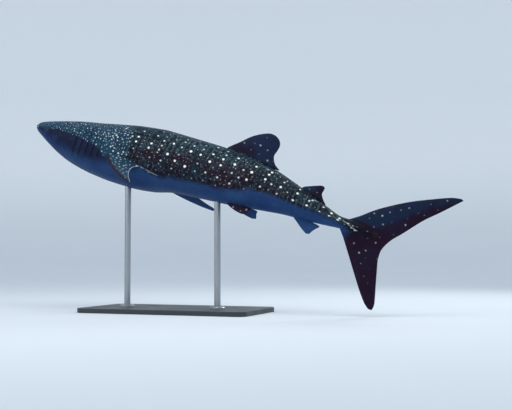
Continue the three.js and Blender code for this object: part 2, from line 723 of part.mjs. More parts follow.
// The base is a flat plate with round corners and a bevelled top edge.
function basePlate() {
  const x = BASE_LENGTH / 2 - BASE_BEVEL;
  const y = BASE_WIDTH / 2 - BASE_BEVEL;
  const r = BASE_CORNER;
  const outline = new THREE.Shape();
  outline.moveTo(-x + r, -y);
  outline.lineTo(x - r, -y);
  outline.absarc(x - r, -y + r, r, -Math.PI / 2, 0);
  outline.lineTo(x, y - r);
  outline.absarc(x - r, y - r, r, 0, Math.PI / 2);
  outline.lineTo(-x + r, y);
  outline.absarc(-x + r, y - r, r, Math.PI / 2, Math.PI);
  outline.lineTo(-x, -y + r);
  outline.absarc(-x + r, -y + r, r, Math.PI, 1.5 * Math.PI);
  const geometry = new THREE.ExtrudeGeometry(outline, {
    depth: BASE_HEIGHT - 2 * BASE_BEVEL,
    bevelThickness: BASE_BEVEL,
    bevelSize: BASE_BEVEL,
    bevelSegments: 2,
    curveSegments: 8,
  });
  geometry.translate(0, 0, BASE_BEVEL);
  return geometry;
}
const base = new THREE.Mesh(basePlate(), new THREE.MeshStandardMaterial(PAINT));
base.name = 'stand_base';
shark.add(base);

// A rod stands on the base under the belly's midline and is trimmed to the belly.
function rod(station) {
  const foot = posed(new THREE.Vector3(station, 0, bellyAt(station)));
  const top = foot.z + ROD_SINK;
  const bottom = BASE_HEIGHT + GAP;
  const profile = [
    [0, bottom],
    [ROD_COLLAR_RADIUS, bottom],
    [ROD_COLLAR_RADIUS, bottom + ROD_COLLAR_HEIGHT - ROD_COLLAR_BEVEL],
    [ROD_COLLAR_RADIUS - ROD_COLLAR_BEVEL, bottom + ROD_COLLAR_HEIGHT],
    [ROD_RADIUS, bottom + ROD_COLLAR_HEIGHT],
    [ROD_RADIUS, top],
    [0, top],
  ].map(([radius, height]) => new THREE.Vector2(radius, height));
  const geometry = new THREE.LatheGeometry(profile, ROD_SIDES);
  geometry.rotateX(Math.PI / 2);
  geometry.translate(foot.x, foot.y, 0);
  return largest(fromGeometry(geometry).subtract(clearance));
}
for (const [name, station] of Object.entries(ROD_STATIONS)) {
  shark.add(meshOf(`stand_rod_${name}`, rod(station), STEEL));
}

export default shark;
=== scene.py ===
# A life-size whale shark swimming on a plain display stand: its looks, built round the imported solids.
# The body is described straight, in millimetres: s runs back from the snout, y to the left, z up.
# It is built and marked there, and the swimming pose then carries every point to its place, in metres.

import math

import bpy
import numpy as np
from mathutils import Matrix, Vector


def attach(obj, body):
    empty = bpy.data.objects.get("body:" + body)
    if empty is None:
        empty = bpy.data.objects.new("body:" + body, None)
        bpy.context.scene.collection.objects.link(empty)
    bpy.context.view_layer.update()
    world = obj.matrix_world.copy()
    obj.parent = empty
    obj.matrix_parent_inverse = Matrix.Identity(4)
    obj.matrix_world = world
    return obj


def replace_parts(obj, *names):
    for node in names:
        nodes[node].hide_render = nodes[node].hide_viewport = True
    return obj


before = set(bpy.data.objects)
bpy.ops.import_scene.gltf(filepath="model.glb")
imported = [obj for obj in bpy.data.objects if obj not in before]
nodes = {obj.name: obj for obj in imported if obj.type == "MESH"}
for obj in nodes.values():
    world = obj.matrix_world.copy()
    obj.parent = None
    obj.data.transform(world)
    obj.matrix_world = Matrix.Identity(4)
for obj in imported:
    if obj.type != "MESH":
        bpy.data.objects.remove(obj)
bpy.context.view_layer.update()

# Pose, as in the solids
PITCH = math.radians(17.8)
BANK = math.radians(6)
SWAY_HEAD = 2
SWAY_TAIL = 6
SWAY_WAVES = 0.9
SWAY_PHASE = 0.68
BODY_LENGTH = 8760
AXIS_HEIGHT = 2790
STAND_STATION = 3300
LOFT_END = 7560

# Outline of the trunk: s, crown, belly, half width, level of the widest line
TRUNK = np.array([
    [0, 106, -92, 560, -5],
    [200, 158, -168, 580, -10],
    [400, 218, -268, 602, -20],
    [700, 308, -412, 632, -35],
    [1050, 398, -522, 662, -50],
    [1500, 484, -592, 690, -50],
    [1950, 580, -618, 700, -20],
    [2400, 662, -612, 686, 20],
    [2870, 706, -560, 650, 60],
    [3340, 704, -448, 596, 100],
    [4020, 698, -386, 505, 120],
    [4550, 670, -342, 430, 120],
    [5050, 604, -282, 352, 110],
    [5370, 536, -242, 300, 95],
    [5770, 414, -198, 238, 80],
    [6150, 292, -182, 190, 50],
    [6460, 188, -164, 165, 20],
    [6850, 84, -128, 138, -5],
    [7150, 84, -112, 95, -30],
    [7560, 40, -130, 26, -60],
], float)
UPPER_FULLNESS = [[0, 2.3], [1200, 2.3], [2600, 2.1], [5600, 2.0], [7560, 2.0]]
LOWER_FULLNESS = [[0, 2.3], [1200, 2.4], [3000, 2.3], [5600, 2.1], [7560, 2.0]]
SNOUT_PLAN = (520, 2.12)
SNOUT_SIDE = (120, 2.0)

# Ridges: angle above the widest line, height along the body
RIDGES = [
    ([[0, 58], [2000, 60], [6000, 62], [7560, 62]], [[2000, 0], [2900, 9], [5000, 8], [6200, 0]]),
    ([[0, 30], [2000, 38], [6000, 34], [7560, 34]], [[2000, 0], [2900, 9], [5200, 9], [6500, 0]]),
    (
        [[0, 0], [400, 0], [2000, 15], [3200, 16], [5200, 10], [6300, 0], [7560, -2]],
        [[1900, 0], [2900, 9], [5000, 15], [6300, 46], [6800, 96], [7100, 92], [7560, 0]],
    ),
]
RIDGE_CREST = 1.5
RIDGE_SPREAD = [[0, 4.5], [5000, 6], [6300, 14], [6900, 20], [7560, 20]]
CROWN_RIDGE = [[2000, 0], [3000, 15], [5600, 12], [6700, 0]]
CROWN_SPREAD = 7

# Gills
GILL_FIRST = 1270
GILL_STEP = 146
GILL_COUNT = 5
GILL_LOW = (-34, -20)
GILL_HIGH = (44, 30)
GILL_BOW = 46
GILL_FLAP = 9
GILL_DEPTH = 9
GILL_LIP = 4
GILL_BACK = 14
GILL_AHEAD = 110
GILL_FADE = 5
GILLS = [GILL_FIRST + i * GILL_STEP for i in range(GILL_COUNT)]

# Mouth, nostrils, eyes and spiracles
MOUTH_CORNER = 375
MOUTH_LEVEL = -8
MOUTH_DROP = 26
MOUTH_GAP = (12, 7)
MOUTH_DEPTH = (56, 30)
LIP_RISE = 13
LIP_SPREAD = 34
LIP_FADE = (-60, 120)
NOSTRIL_S = 78
NOSTRIL_ANGLE = 20
NOSTRIL_SIZE = (15, 30, 13)  # half sizes
EYE_RADIUS = 33
EYE_S = 515
EYE_Z = -32
EYE_PROUD = 13
SPIRACLE_S = 760
SPIRACLE_Z = 26
SPIRACLE_RADIUS = 17
BARBEL_S = 66
BARBEL_ANGLE = 15
BARBEL_LENGTH = 42
BARBEL_RADIUS = 9
BARBEL_TIP = 0.3
BARBEL_CURL = 17
BARBEL_RINGS = 12
BARBEL_SIDES = 16

# Fins on the midline: s and z of the leading edge, s and z of the trailing edge, thickness
DORSAL_FIRST = [
    [4140, 560, 5010, 470, 104],
    [4190, 712, 5060, 588, 104],
    [4290, 800, 5364, 566, 100],
    [4425, 905, 5248, 664, 92],
    [4570, 1030, 5177, 800, 82],
    [4700, 1112, 5206, 920, 68],
    [4840, 1176, 5222, 1020, 54],
    [4950, 1208, 5196, 1104, 40],
    [5050, 1203, 5132, 1168, 22],
]
DORSAL_SECOND = [
    [5880, 330, 6220, 190, 50],
    [5925, 404, 6235, 262, 50],
    [6000, 440, 6440, 196, 46],
    [6080, 470, 6366, 286, 40],
    [6160, 498, 6312, 375, 32],
    [6235, 524, 6322, 450, 24],
    [6290, 528, 6330, 500, 14],
]
ANAL = [
    [5890, -110, 6240, -90, 44],
    [5920, -184, 6262, -160, 44],
    [6010, -250, 6455, -206, 40],
    [6095, -312, 6400, -280, 34],
    [6170, -364, 6352, -340, 26],
    [6250, -410, 6318, -400, 14],
]
TAIL_FIN = [
    [8724, 1036, 8772, 1014, 12],
    [8545, 1000, 8665, 906, 26],
    [8214, 864, 8462, 700, 44],
    [7890, 716, 8205, 450, 62],
    [7575, 538, 7940, 130, 82],
    [7330, 376, 7798, -30, 96],
    [7115, 202, 7712, -166, 104],
    [6900, 50, 7668, -274, 100],
    [6815, -90, 7660, -374, 96],
    [6943, -270, 7668, -484, 92],
    [7130, -535, 7708, -654, 84],
    [7346, -845, 7768, -904, 66],
    [7522, -1092, 7822, -1116, 46],
    [7664, -1268, 7850, -1262, 28],
    [7766, -1352, 7832, -1356, 12],
]
PECTORAL = [
    [-42, -239, 634, -260, 150],
    [0, 0, 704, -38, 142],
    [99, 198, 772, 72, 128],
    [229, 385, 768, 242, 110],
    [400, 582, 826, 436, 92],
    [614, 806, 934, 668, 76],
    [848, 1019, 1070, 896, 60],
    [1061, 1186, 1204, 1092, 44],
    [1210, 1284, 1322, 1232, 30],
    [1296, 1338, 1366, 1306, 16],
]
PECTORAL_ROOT = (2060, 660, -150)
PECTORAL_HOLD = {1: (0.7, 17.2, 0.03), -1: (4, 32, -0.3)}
PELVIC = [
    [4570, 120, -240, 4880, 100, -200, 46],
    [4610, 200, -306, 4930, 150, -258, 46],
    [4700, 238, -356, 5130, 160, -280, 42],
    [4800, 266, -394, 5124, 214, -340, 34],
    [4910, 288, -424, 5124, 258, -388, 24],
    [5020, 300, -440, 5118, 288, -424, 12],
]
OFF_MIDLINE = 6.4
FOIL_SCALE = 1.299
ROWS_BETWEEN = 14
SPAN_STEP = 0.05
CHORD_POINTS = 64


def smooth(value, low, high):
    """A smooth step from 0 at low to 1 at high."""
    t = np.clip((value - low) / (high - low), 0, 1)
    return t * t * (3 - 2 * t)


def lerp(a, b, share):
    return a + (b - a) * share


def turn_in(i, j, angle):
    """A rotation in the plane of two axes."""
    turn = np.eye(3)
    turn[i, i] = turn[j, j] = math.cos(angle)
    turn[i, j] = math.sin(angle)
    turn[j, i] = -math.sin(angle)
    return turn


def curve(pairs):
    """A smooth curve through [place, value] pairs that never overshoots them."""
    x = np.array([pair[0] for pair in pairs], float)
    v = np.array([pair[1] for pair in pairs], float)
    slope = np.diff(v) / np.diff(x)
    a, b = slope[:-1], slope[1:]
    product = a * b
    total = np.where(product > 0, a + b, 1)
    inner = np.where(product > 0, 2 * product / total, 0)
    tangent = np.concatenate([slope[:1], inner, slope[-1:]])

    def at(place):
        place = np.clip(place, x[0], x[-1])
        i = np.clip(np.searchsorted(x, place, "right") - 1, 0, len(x) - 2)
        h = x[i + 1] - x[i]
        t = (place - x[i]) / h
        return (
            v[i] * (1 + 2 * t) * (1 - t) ** 2
            + tangent[i] * h * t * (1 - t) ** 2
            + v[i + 1] * t * t * (3 - 2 * t)
            + tangent[i + 1] * h * t * t * (t - 1)
        )

    return at


crown_at, belly_at, width_at, waist_at = (curve(TRUNK[:, [0, k]]) for k in (1, 2, 3, 4))
upper_fullness = curve(UPPER_FULLNESS)
lower_fullness = curve(LOWER_FULLNESS)
ridge_spread = curve(RIDGE_SPREAD)
crown_ridge = curve(CROWN_RIDGE)
ridges = [(curve(angle), curve(height)) for angle, height in RIDGES]


def snout_opening(s, shape):
    length, fullness = shape
    left = np.clip(1 - s / length, 0, None)
    return (1 - left**fullness) ** (1 / fullness)


def half_width(s):
    return width_at(s) * snout_opening(s, SNOUT_PLAN)


def plain_point(s, angle):
    """The trunk without relief: angle is 0 on the left widest line, 90 at the crown, -90 at the belly."""
    side = snout_opening(s, SNOUT_SIDE)
    waist = waist_at(s)
    c = np.cos(np.radians(angle))
    d = np.sin(np.radians(angle))
    fullness = np.where(d >= 0, upper_fullness(s), lower_fullness(s))
    rise = np.where(d >= 0, crown_at(s) - waist, waist - belly_at(s)) * side
    y = half_width(s) * np.sign(c) * np.abs(c) ** (2 / fullness)
    z = waist + rise * np.sign(d) * np.abs(d) ** (2 / fullness)
    return np.stack([s + 0 * y, y, z], -1)


def side_angle(angle):
    return np.where(angle > 90, 180 - angle, np.where(angle < -90, -180 - angle, angle))


def gill_bow(angle):
    middle = (GILL_HIGH[0] + GILL_LOW[0]) / 2
    half = (GILL_HIGH[0] - GILL_LOW[0]) / 2
    return GILL_BOW * np.clip(1 - ((side_angle(angle) - middle) / half) ** 2, 0, None) - GILL_BOW


def gill_relief(s, angle):
    at = side_angle(angle)
    rise = np.zeros(np.broadcast(s, angle).shape)
    for i, place in enumerate(GILLS):
        share = i / (GILL_COUNT - 1)
        low, high = lerp(*GILL_LOW, share), lerp(*GILL_HIGH, share)
        behind = s - (place + gill_bow(angle))
        inside = smooth(at, low - GILL_FADE, low + GILL_FADE)
        inside *= 1 - smooth(at, high - GILL_FADE, high + GILL_FADE)
        flap = GILL_FLAP * np.clip(1 + behind / GILL_AHEAD, 0, 1) ** 2
        under = lerp(GILL_FLAP, -GILL_DEPTH, np.clip(behind / GILL_LIP, 0, 1))
        back = -GILL_DEPTH * (1 - np.clip((behind - GILL_LIP) / (GILL_BACK - GILL_LIP), 0, 1))
        rise += inside * np.where(behind <= 0, flap, np.where(behind <= GILL_LIP, under, back))
    return rise


def mouth_level(s):
    return MOUTH_LEVEL - MOUTH_DROP * smooth(s, 0, MOUTH_CORNER)


def relief(s, angle):
    at = side_angle(angle)
    rise = gill_relief(s, angle)
    for crest, height in ridges:
        off = np.clip(np.abs(at - crest(s)) / ridge_spread(s), 0, 1)
        rise += height(s) * (1 - off) ** RIDGE_CREST
    off_crown = np.clip((90 - at) / CROWN_SPREAD, 0, 1)
    rise += crown_ridge(s) * (1 - off_crown) ** RIDGE_CREST
    off_mouth = (plain_point(s, angle)[..., 2] - mouth_level(s)) / LIP_SPREAD
    fade = 1 - smooth(s, MOUTH_CORNER + LIP_FADE[0], MOUTH_CORNER + LIP_FADE[1])
    return rise + LIP_RISE * fade * np.exp(-(off_mouth**2))


def skin_point(s, angle):
    """Points of the skin with their outward directions."""
    step = np.minimum(1, s / 2)[..., None] * np.ones(3)
    point = plain_point(s, angle)
    along = plain_point(s + step[..., 0], angle) - plain_point(s - step[..., 0], angle)
    around = plain_point(s, angle + 0.5) - plain_point(s, angle - 0.5)
    normal = np.cross(around, along)
    normal /= np.linalg.norm(normal, axis=-1, keepdims=True) + 1e-12
    return point + normal * relief(s, angle)[..., None], normal


# The swaying axis, in steps
def heading(s):
    share = s / BODY_LENGTH
    swing = np.radians(SWAY_HEAD + SWAY_TAIL * share**2)
    return swing * np.cos(2 * np.pi * SWAY_WAVES * share + SWAY_PHASE)


AXIS_STEP = 10
axis_s = np.arange(0, BODY_LENGTH + 400, AXIS_STEP)
axis_turn = heading(axis_s + AXIS_STEP / 2)
axis_x = np.concatenate([[0], np.cumsum(np.cos(axis_turn) * AXIS_STEP)[:-1]])
axis_y = np.concatenate([[0], np.cumsum(np.sin(axis_turn) * AXIS_STEP)[:-1]])
pose_turn = turn_in(0, 2, PITCH) @ turn_in(1, 2, BANK)


def swung(points):
    s, y, z = points.T
    turn = heading(np.maximum(s, 0))
    before = np.minimum(s, 0)
    x = np.interp(s, axis_s, axis_x) + before * math.cos(heading(0)) + y * np.sin(turn)
    across = np.interp(s, axis_s, axis_y) + before * math.sin(heading(0)) - y * np.cos(turn)
    return np.stack([x, across, z], 1) @ pose_turn.T


stand_point = swung(np.array([[STAND_STATION, 0.0, 0.0]]))[0]
shift = np.array([-stand_point[0], -stand_point[1], AXIS_HEIGHT - stand_point[2]])


def posed(points):
    """Straight points in millimetres, carried to their place in metres."""
    return (swung(np.asarray(points, float)) + shift) / 1000


# Rings and columns of the trunk, closest together at the mouth, eyes and gills
SNOUT_RINGS = 31
SNOUT_ARC = 9  # between rings on the front of the snout
ARC_SCALE = 41.7  # plan half width of the snout at s = 1
ARC_POWER = 2.13
RING_STEPS = [(450, 9), (585, 4.5), (1950, 9), (LOFT_END, 12)]  # up to s, step
SLIT_RINGS = (-3, -0.5, 0.5, 2, GILL_LIP, GILL_LIP + 2, 9, 13, GILL_BACK, GILL_BACK + 3)
SLIT_CLEAR = (-5, GILL_BACK + 6)
BOW_AHEAD = (260, 30)
BOW_BEHIND = (10, 220)
COLUMN_STEP = 0.86
COLUMN_CLOSER = 1.1
COLUMN_REACH = 9


def spaced(start, end, step_at):
    places = [start]
    while places[-1] < end:
        places.append(places[-1] + step_at(places[-1]))
    places = np.array(places)
    return start + (places - start) * (end - start) / (places[-1] - start)


def ring_step(s):
    return next((step for end, step in RING_STEPS if s < end), RING_STEPS[-1][1])


def ring_places():
    tip = (SNOUT_ARC * np.arange(1, SNOUT_RINGS) / ARC_SCALE) ** ARC_POWER
    rest = spaced(tip[-1] + 6, LOFT_END, ring_step)
    slits = [place + off for place in GILLS for off in SLIT_RINGS]
    ahead, behind = SLIT_CLEAR
    clear = [s for s in rest if not any(ahead < s - place < behind for place in GILLS)]
    return np.array(sorted([*tip, *clear, *slits]))


def column_angles():
    def step(angle):
        off = np.array([angle, abs(angle) - 180]) / COLUMN_REACH
        return COLUMN_STEP / (1 + COLUMN_CLOSER * np.exp(-(off**2)).sum())

    return spaced(-180, 180, step)[:-1]


def trunk_grid():
    s, angle = np.meshgrid(ring_places(), column_angles(), indexing="ij")
    last_slit = GILLS[-1] + GILL_BACK
    bowed = smooth(s, GILL_FIRST - BOW_AHEAD[0], GILL_FIRST - BOW_AHEAD[1])
    bowed *= 1 - smooth(s, last_slit + BOW_BEHIND[0], last_slit + BOW_BEHIND[1])
    return s + bowed * gill_bow(angle), angle


EYE_OPENING = 27.5
EYE_PULL = 3
EYE_REACH = 90
EYE_RIM = (34, 9, 5)  # distance from the eye's middle, spread and height
SOCKET_ROOM = 1.5
SPIRACLE_DEPTH = 20
NOSTRIL_DEPTH = 22
MOUTH_CLOSE = 0.93
MOUTH_EDGE = (0.8, 1.15)
SIDES = (1, -1)


def skin_place(s, angle, side):
    """One point of the skin and its outward direction; side 1 is the left and -1 the right."""
    full = angle if side > 0 else 180 - angle
    point, normal = skin_point(np.array([float(s)]), np.array([float(full)]))
    return point[0], normal[0]


eye_depth = width_at(EYE_S) + EYE_PROUD - EYE_RADIUS
eye_centres = {side: np.array([EYE_S, side * eye_depth, EYE_Z]) for side in SIDES}
nostril_centres = {side: skin_place(NOSTRIL_S, NOSTRIL_ANGLE, side)[0] for side in SIDES}
spiracle_centres = {side: np.array([SPIRACLE_S, side * width_at(SPIRACLE_S), SPIRACLE_Z]) for side in SIDES}


def pit(away, depth):
    """Depth of a round-bottomed pit at a distance from its middle, in radii."""
    return depth * np.sqrt(np.clip(1 - away**2, 0, None))[..., None]


def openings(point, normal, s):
    """Sinks the mouth, eye sockets, nostrils and spiracles into the skin."""
    point = point.copy()
    # Mouth
    share = np.clip(s / MOUTH_CORNER, 0, 1)
    depth = lerp(*MOUTH_DEPTH, share) * (1 - smooth(share, MOUTH_CLOSE, 1))
    gap = lerp(*MOUTH_GAP, share)
    off = np.abs(point[..., 2] - mouth_level(s)) / (gap / 2)
    inside = (1 - smooth(off, *MOUTH_EDGE)) * (s < MOUTH_CORNER)
    step = np.minimum(2, np.maximum(s, 0.02) / 2)
    slope = (half_width(s + step) - half_width(s - step)) / (2 * step)
    sunk = depth * inside / np.hypot(slope, 1)
    point[..., 0] += sunk * slope
    point[..., 1] -= sunk * np.sign(point[..., 1])
    for side in SIDES:
        # Eye
        centre = eye_centres[side]
        flat = point[..., [0, 2]] - centre[[0, 2]]
        far = np.hypot(flat[..., 0], flat[..., 1])
        near_eye = (np.sign(point[..., 1]) == side) & (far < EYE_REACH)
        pull = np.exp(-(((far - EYE_OPENING) / EYE_PULL) ** 2)) * near_eye
        new = far + (EYE_OPENING - far) * pull
        ratio = (new / np.maximum(far, 1e-6))[..., None]
        moved = centre[[0, 2]] + flat * ratio
        point[..., [0, 2]] = np.where(near_eye[..., None], moved, point[..., [0, 2]])
        rim = EYE_RIM[2] * np.exp(-(((far - EYE_RIM[0]) / EYE_RIM[1]) ** 2)) * (new > EYE_OPENING - 1)
        point[..., 1] += side * rim * near_eye
        ball = np.sqrt(np.clip((EYE_RADIUS + SOCKET_ROOM) ** 2 - new**2, 0, None))
        in_socket = near_eye & (new < EYE_OPENING - 0.5)
        point[..., 1] = np.where(in_socket, side * (abs(centre[1]) - ball), point[..., 1])
        # Nostril
        away = np.linalg.norm((point - nostril_centres[side]) / NOSTRIL_SIZE, axis=-1)
        point -= normal * pit(away, NOSTRIL_DEPTH)
        # Spiracle
        away = np.linalg.norm(point - spiracle_centres[side], axis=-1) / SPIRACLE_RADIUS
        point -= normal * pit(away, SPIRACLE_DEPTH)
    return point


def placed(name, data):
    """An object for some data, in the scene."""
    made = bpy.data.objects.new(name, data)
    bpy.context.scene.collection.objects.link(made)
    return made


def grid_faces(rows, columns):
    """Quads of a tube of rings, with a fan at each end from two more points."""
    i, k = np.meshgrid(np.arange(rows - 1), np.arange(columns), indexing="ij")
    a = i * columns + k
    b = i * columns + (k + 1) % columns
    quads = np.stack([a, b, b + columns, a + columns], -1).reshape(-1, 4)
    k = np.arange(columns)
    after = (k + 1) % columns
    first = np.full(columns, rows * columns)
    last = (rows - 1) * columns
    start = np.stack([first, after, k], 1)
    end = np.stack([first + 1, last + k, last + after], 1)
    return [*quads.tolist(), *start.tolist(), *end.tolist()]


def closed_form(rings, tip=None):
    """Points and outward faces of a closed form through an array of rings (rows, columns, 3)."""
    rows, columns = rings.shape[:2]
    first = rings[0].mean(0) if tip is None else tip
    points = np.concatenate([rings.reshape(-1, 3), [first, rings[-1].mean(0)]])
    faces = grid_faces(rows, columns)
    corners = points[np.array([face[:3] for face in faces])]
    volume = np.einsum("ij,ij->", corners[:, 0], np.cross(corners[:, 1], corners[:, 2]))
    if volume < 0:
        faces = [face[::-1] for face in faces]
    return points, faces


def object_from(name, forms):
    """One object from several closed forms that don't touch each other."""
    points = np.concatenate([form[0] for form in forms])
    faces = []
    start = 0
    for form in forms:
        faces += [[start + corner for corner in face] for face in form[1]]
        start += len(form[0])
    mesh = bpy.data.meshes.new(name)
    mesh.from_pydata(points.tolist(), [], faces)
    return placed(name, mesh)


def between(rows, places):
    """Values of each column between the rows of a table (Catmull-Rom)."""
    rows = np.asarray(rows, float)
    last = len(rows) - 1
    i = np.minimum(np.floor(places).astype(int), last - 1)
    t = (places - i)[:, None]
    a, b, c, d = (rows[np.clip(i + k, 0, last)] for k in (-1, 0, 1, 2))
    return b + 0.5 * t * (c - a + t * (2 * a - 5 * b + 4 * c - d + t * (3 * (b - c) + d - a)))


def blade(rows, chord_ends):
    """A fin through the chords of a table."""
    last = len(rows) - 1
    places = np.linspace(0, last, last * ROWS_BETWEEN + 1)
    lead, trail, thick = chord_ends(between(rows, places))
    ahead = chord_ends(between(rows, np.minimum(last, places + SPAN_STEP)))
    behind = chord_ends(between(rows, np.maximum(0, places - SPAN_STEP)))
    span = ahead[0] + ahead[1] - behind[0] - behind[1]
    normal = np.cross(span, trail - lead)
    normal /= np.linalg.norm(normal, axis=1, keepdims=True)
    share = (1 - np.cos(np.linspace(0, np.pi, CHORD_POINTS))) / 2
    foil = FOIL_SCALE * np.sqrt(share) * (1 - share)
    shares = np.concatenate([share[:-1], share[:0:-1]])
    heights = np.concatenate([foil[:-1], -foil[:0:-1]])
    middle = lead[:, None] + (trail - lead)[:, None] * shares[None, :, None]
    rings = middle + normal[:, None] * (thick[:, None] * heights[None])[..., None]
    return closed_form(rings)


def midline_fin(rows):
    def ends(values):
        y = np.full(len(values), OFF_MIDLINE)
        lead = np.stack([values[:, 0], y, values[:, 1]], 1)
        trail = np.stack([values[:, 2], y, values[:, 3]], 1)
        return lead, trail, values[:, 4]

    return blade(rows, ends)


def pectoral_place(side):
    """Where a point of the pectoral fin's plan lies, from its distances back and out."""
    back, droop, rake = PECTORAL_HOLD[side]
    turn = turn_in(1, 2, math.radians(droop)) @ turn_in(0, 1, math.radians(back))

    def place(aft, out):
        point = np.stack([aft, out, -rake * aft], 1) @ turn.T
        s, y, z = PECTORAL_ROOT
        return np.stack([s + point[:, 0], side * (y + point[:, 1]), z + point[:, 2]], 1)

    return place


def pectoral_fin(side):
    place = pectoral_place(side)
    return blade(PECTORAL, lambda v: (place(v[:, 0], v[:, 1]), place(v[:, 2], v[:, 3]), v[:, 4]))


def pelvic_fin(side):
    flip = np.array([1, side, 1])
    return blade(PELVIC, lambda v: (v[:, 0:3] * flip, v[:, 3:6] * flip, v[:, 6]))


def barbel(side):
    """A short skin barbel that hangs in front of a nostril."""
    root, out = skin_place(BARBEL_S, BARBEL_ANGLE, side)
    share = np.linspace(0, 1, BARBEL_RINGS)
    clear = BARBEL_CURL * np.sin(0.7 * np.pi * share)
    centre = root + out * (1, 1, 0) * clear[:, None] - np.outer(share, (0, 0, BARBEL_LENGTH))
    radius = BARBEL_RADIUS * lerp(1, BARBEL_TIP, share**1.4)
    turn = np.linspace(0, 2 * np.pi, BARBEL_SIDES + 1)[:-1]
    circle = np.stack([np.cos(turn), np.sin(turn), 0 * turn], 1)
    return closed_form(centre[:, None] + radius[:, None, None] * circle[None])


def union(trunk, fins):
    """The trunk with its fins as one closed mesh."""
    joined = trunk.modifiers.new("fins", "BOOLEAN")
    joined.operation = "UNION"
    joined.solver = "MANIFOLD"
    joined.object = fins
    depsgraph = bpy.context.evaluated_depsgraph_get()
    mesh = bpy.data.meshes.new_from_object(trunk.evaluated_get(depsgraph))
    for piece in (trunk, fins):
        bpy.data.objects.remove(piece)
    return mesh


def girth_tables():
    """Distance round the body from the crown, for places along it and angles down its side."""
    s = np.linspace(1, BODY_LENGTH, 240)
    angle = np.linspace(90, -90, 181)
    grid_s, grid_angle = np.meshgrid(s, angle, indexing="ij")
    point = plain_point(grid_s, grid_angle)
    steps = np.linalg.norm(np.diff(point, axis=1), axis=-1)
    arc = np.concatenate([np.zeros((len(s), 1)), np.cumsum(steps, 1)], 1)
    return s, angle, arc


girth_s, girth_angle, girth_arc = girth_tables()


def angle_of(points):
    """The angle above the widest line at which a straight point lies."""
    s = np.clip(points[:, 0], 1, LOFT_END)
    waist = waist_at(s)
    up = points[:, 2] - waist
    rise = np.where(up >= 0, crown_at(s) - waist, waist - belly_at(s)) * snout_opening(s, SNOUT_SIDE)
    fullness = np.where(up >= 0, upper_fullness(s), lower_fullness(s))
    c = (np.abs(points[:, 1]) / half_width(s)) ** (fullness / 2)
    d = (np.abs(up) / rise) ** (fullness / 2)
    return np.degrees(np.arctan2(d * np.sign(up), c))


def arc_of(points):
    """Distance from the crown round the side, positive on the left."""
    angle = angle_of(points)
    row = np.interp(points[:, 0], girth_s, np.arange(len(girth_s)))
    column = 90 - angle
    i = np.minimum(row.astype(int), len(girth_s) - 2)
    k = np.clip(column.astype(int), 0, len(girth_angle) - 2)
    a, b = row - i, column - k
    upper = lerp(girth_arc[i, k], girth_arc[i, k + 1], b)
    lower = lerp(girth_arc[i + 1, k], girth_arc[i + 1, k + 1], b)
    return lerp(upper, lower, a) * np.where(points[:, 1] < 0, -1, 1)


HEAD_CLEAR = 1900  # no fin stands ahead of this
FIN_PROUD = 9
FIN_TONE = (4, 60)  # how far proud the skin begins to look like a fin, and does so wholly
FILLET_REACH = 5
FILLET_PASSES = 14


def proud_of_trunk(points):
    """How far a straight point of a fin stands out of the trunk's skin."""
    s = np.clip(points[:, 0], 1, LOFT_END)
    angle = angle_of(points)
    full = np.where(points[:, 1] < 0, 180 - angle, angle)
    skin = skin_point(s, full)[0]
    waist = waist_at(s)
    mine = np.hypot(points[:, 1], points[:, 2] - waist)
    own = np.hypot(skin[:, 1], skin[:, 2] - waist)
    proud = np.where(points[:, 0] > LOFT_END, 200, mine - own)
    return proud * (points[:, 0] > HEAD_CLEAR)


def fillet(points, edges, proud):
    """Softens the lines where fins leave the trunk."""
    on_fin = proud > FIN_PROUD
    a, b = edges.T
    crossing = on_fin[a] != on_fin[b]
    weight = np.zeros(len(points))
    weight[a[crossing]] = 1
    weight[b[crossing]] = 1
    for _ in range(FILLET_REACH):
        spread = weight * (1 - 1 / FILLET_REACH)
        np.maximum.at(weight, a, spread[b])
        np.maximum.at(weight, b, spread[a])
    near = weight[a] + weight[b] > 0
    a, b = a[near], b[near]

    def from_neighbours(values):
        return np.bincount(a, values[b], len(values)) + np.bincount(b, values[a], len(values))

    count = from_neighbours(np.ones(len(points)))
    share = 0.5 * weight * (count > 0)
    for _ in range(FILLET_PASSES):
        total = np.stack([from_neighbours(values) for values in points.T], 1)
        points = points + (total / np.maximum(count, 1)[:, None] - points) * share[:, None]
    return points


# Lower edge of the head's close dots, and the edge between dark sides and belly: s and level
dots_edge = curve([
    [0, 20], [500, 12], [800, 42], [1200, 38], [1600, -8], [1885, -108], [2035, -205], [2300, -215],
])
under_edge = curve([
    [0, -45], [300, -75], [500, -120], [1000, -280], [1500, -365], [1900, -320], [2200, -240],
    [2600, -190], [2900, -220], [3200, -264], [3500, -215], [4140, -150], [4770, -70],
    [5160, 45], [5420, 62], [5600, 56],
    [5760, 34], [6050, 12], [6420, -6], [6620, -20], [6810, -50], [6925, -75], [7150, -260], [7560, -500],
])
under_blur = curve([
    [0, 140], [1300, 200], [2000, 140], [2500, 72], [3500, 92],
    [6000, 66], [6300, 44], [6900, 60], [7560, 90],
])
# The middle line of the tail fin's upper lobe
tail_middle = curve([[7300, 20], [7564, 173], [7757, 334], [8047, 583], [8338, 782], [8748, 1025]])
# Where the teal of the shoulder ends: distance round the body from the crown and s
shoulder_edge = curve([[0, 2150], [350, 2200], [700, 2390], [1000, 2470], [1300, 2500]])
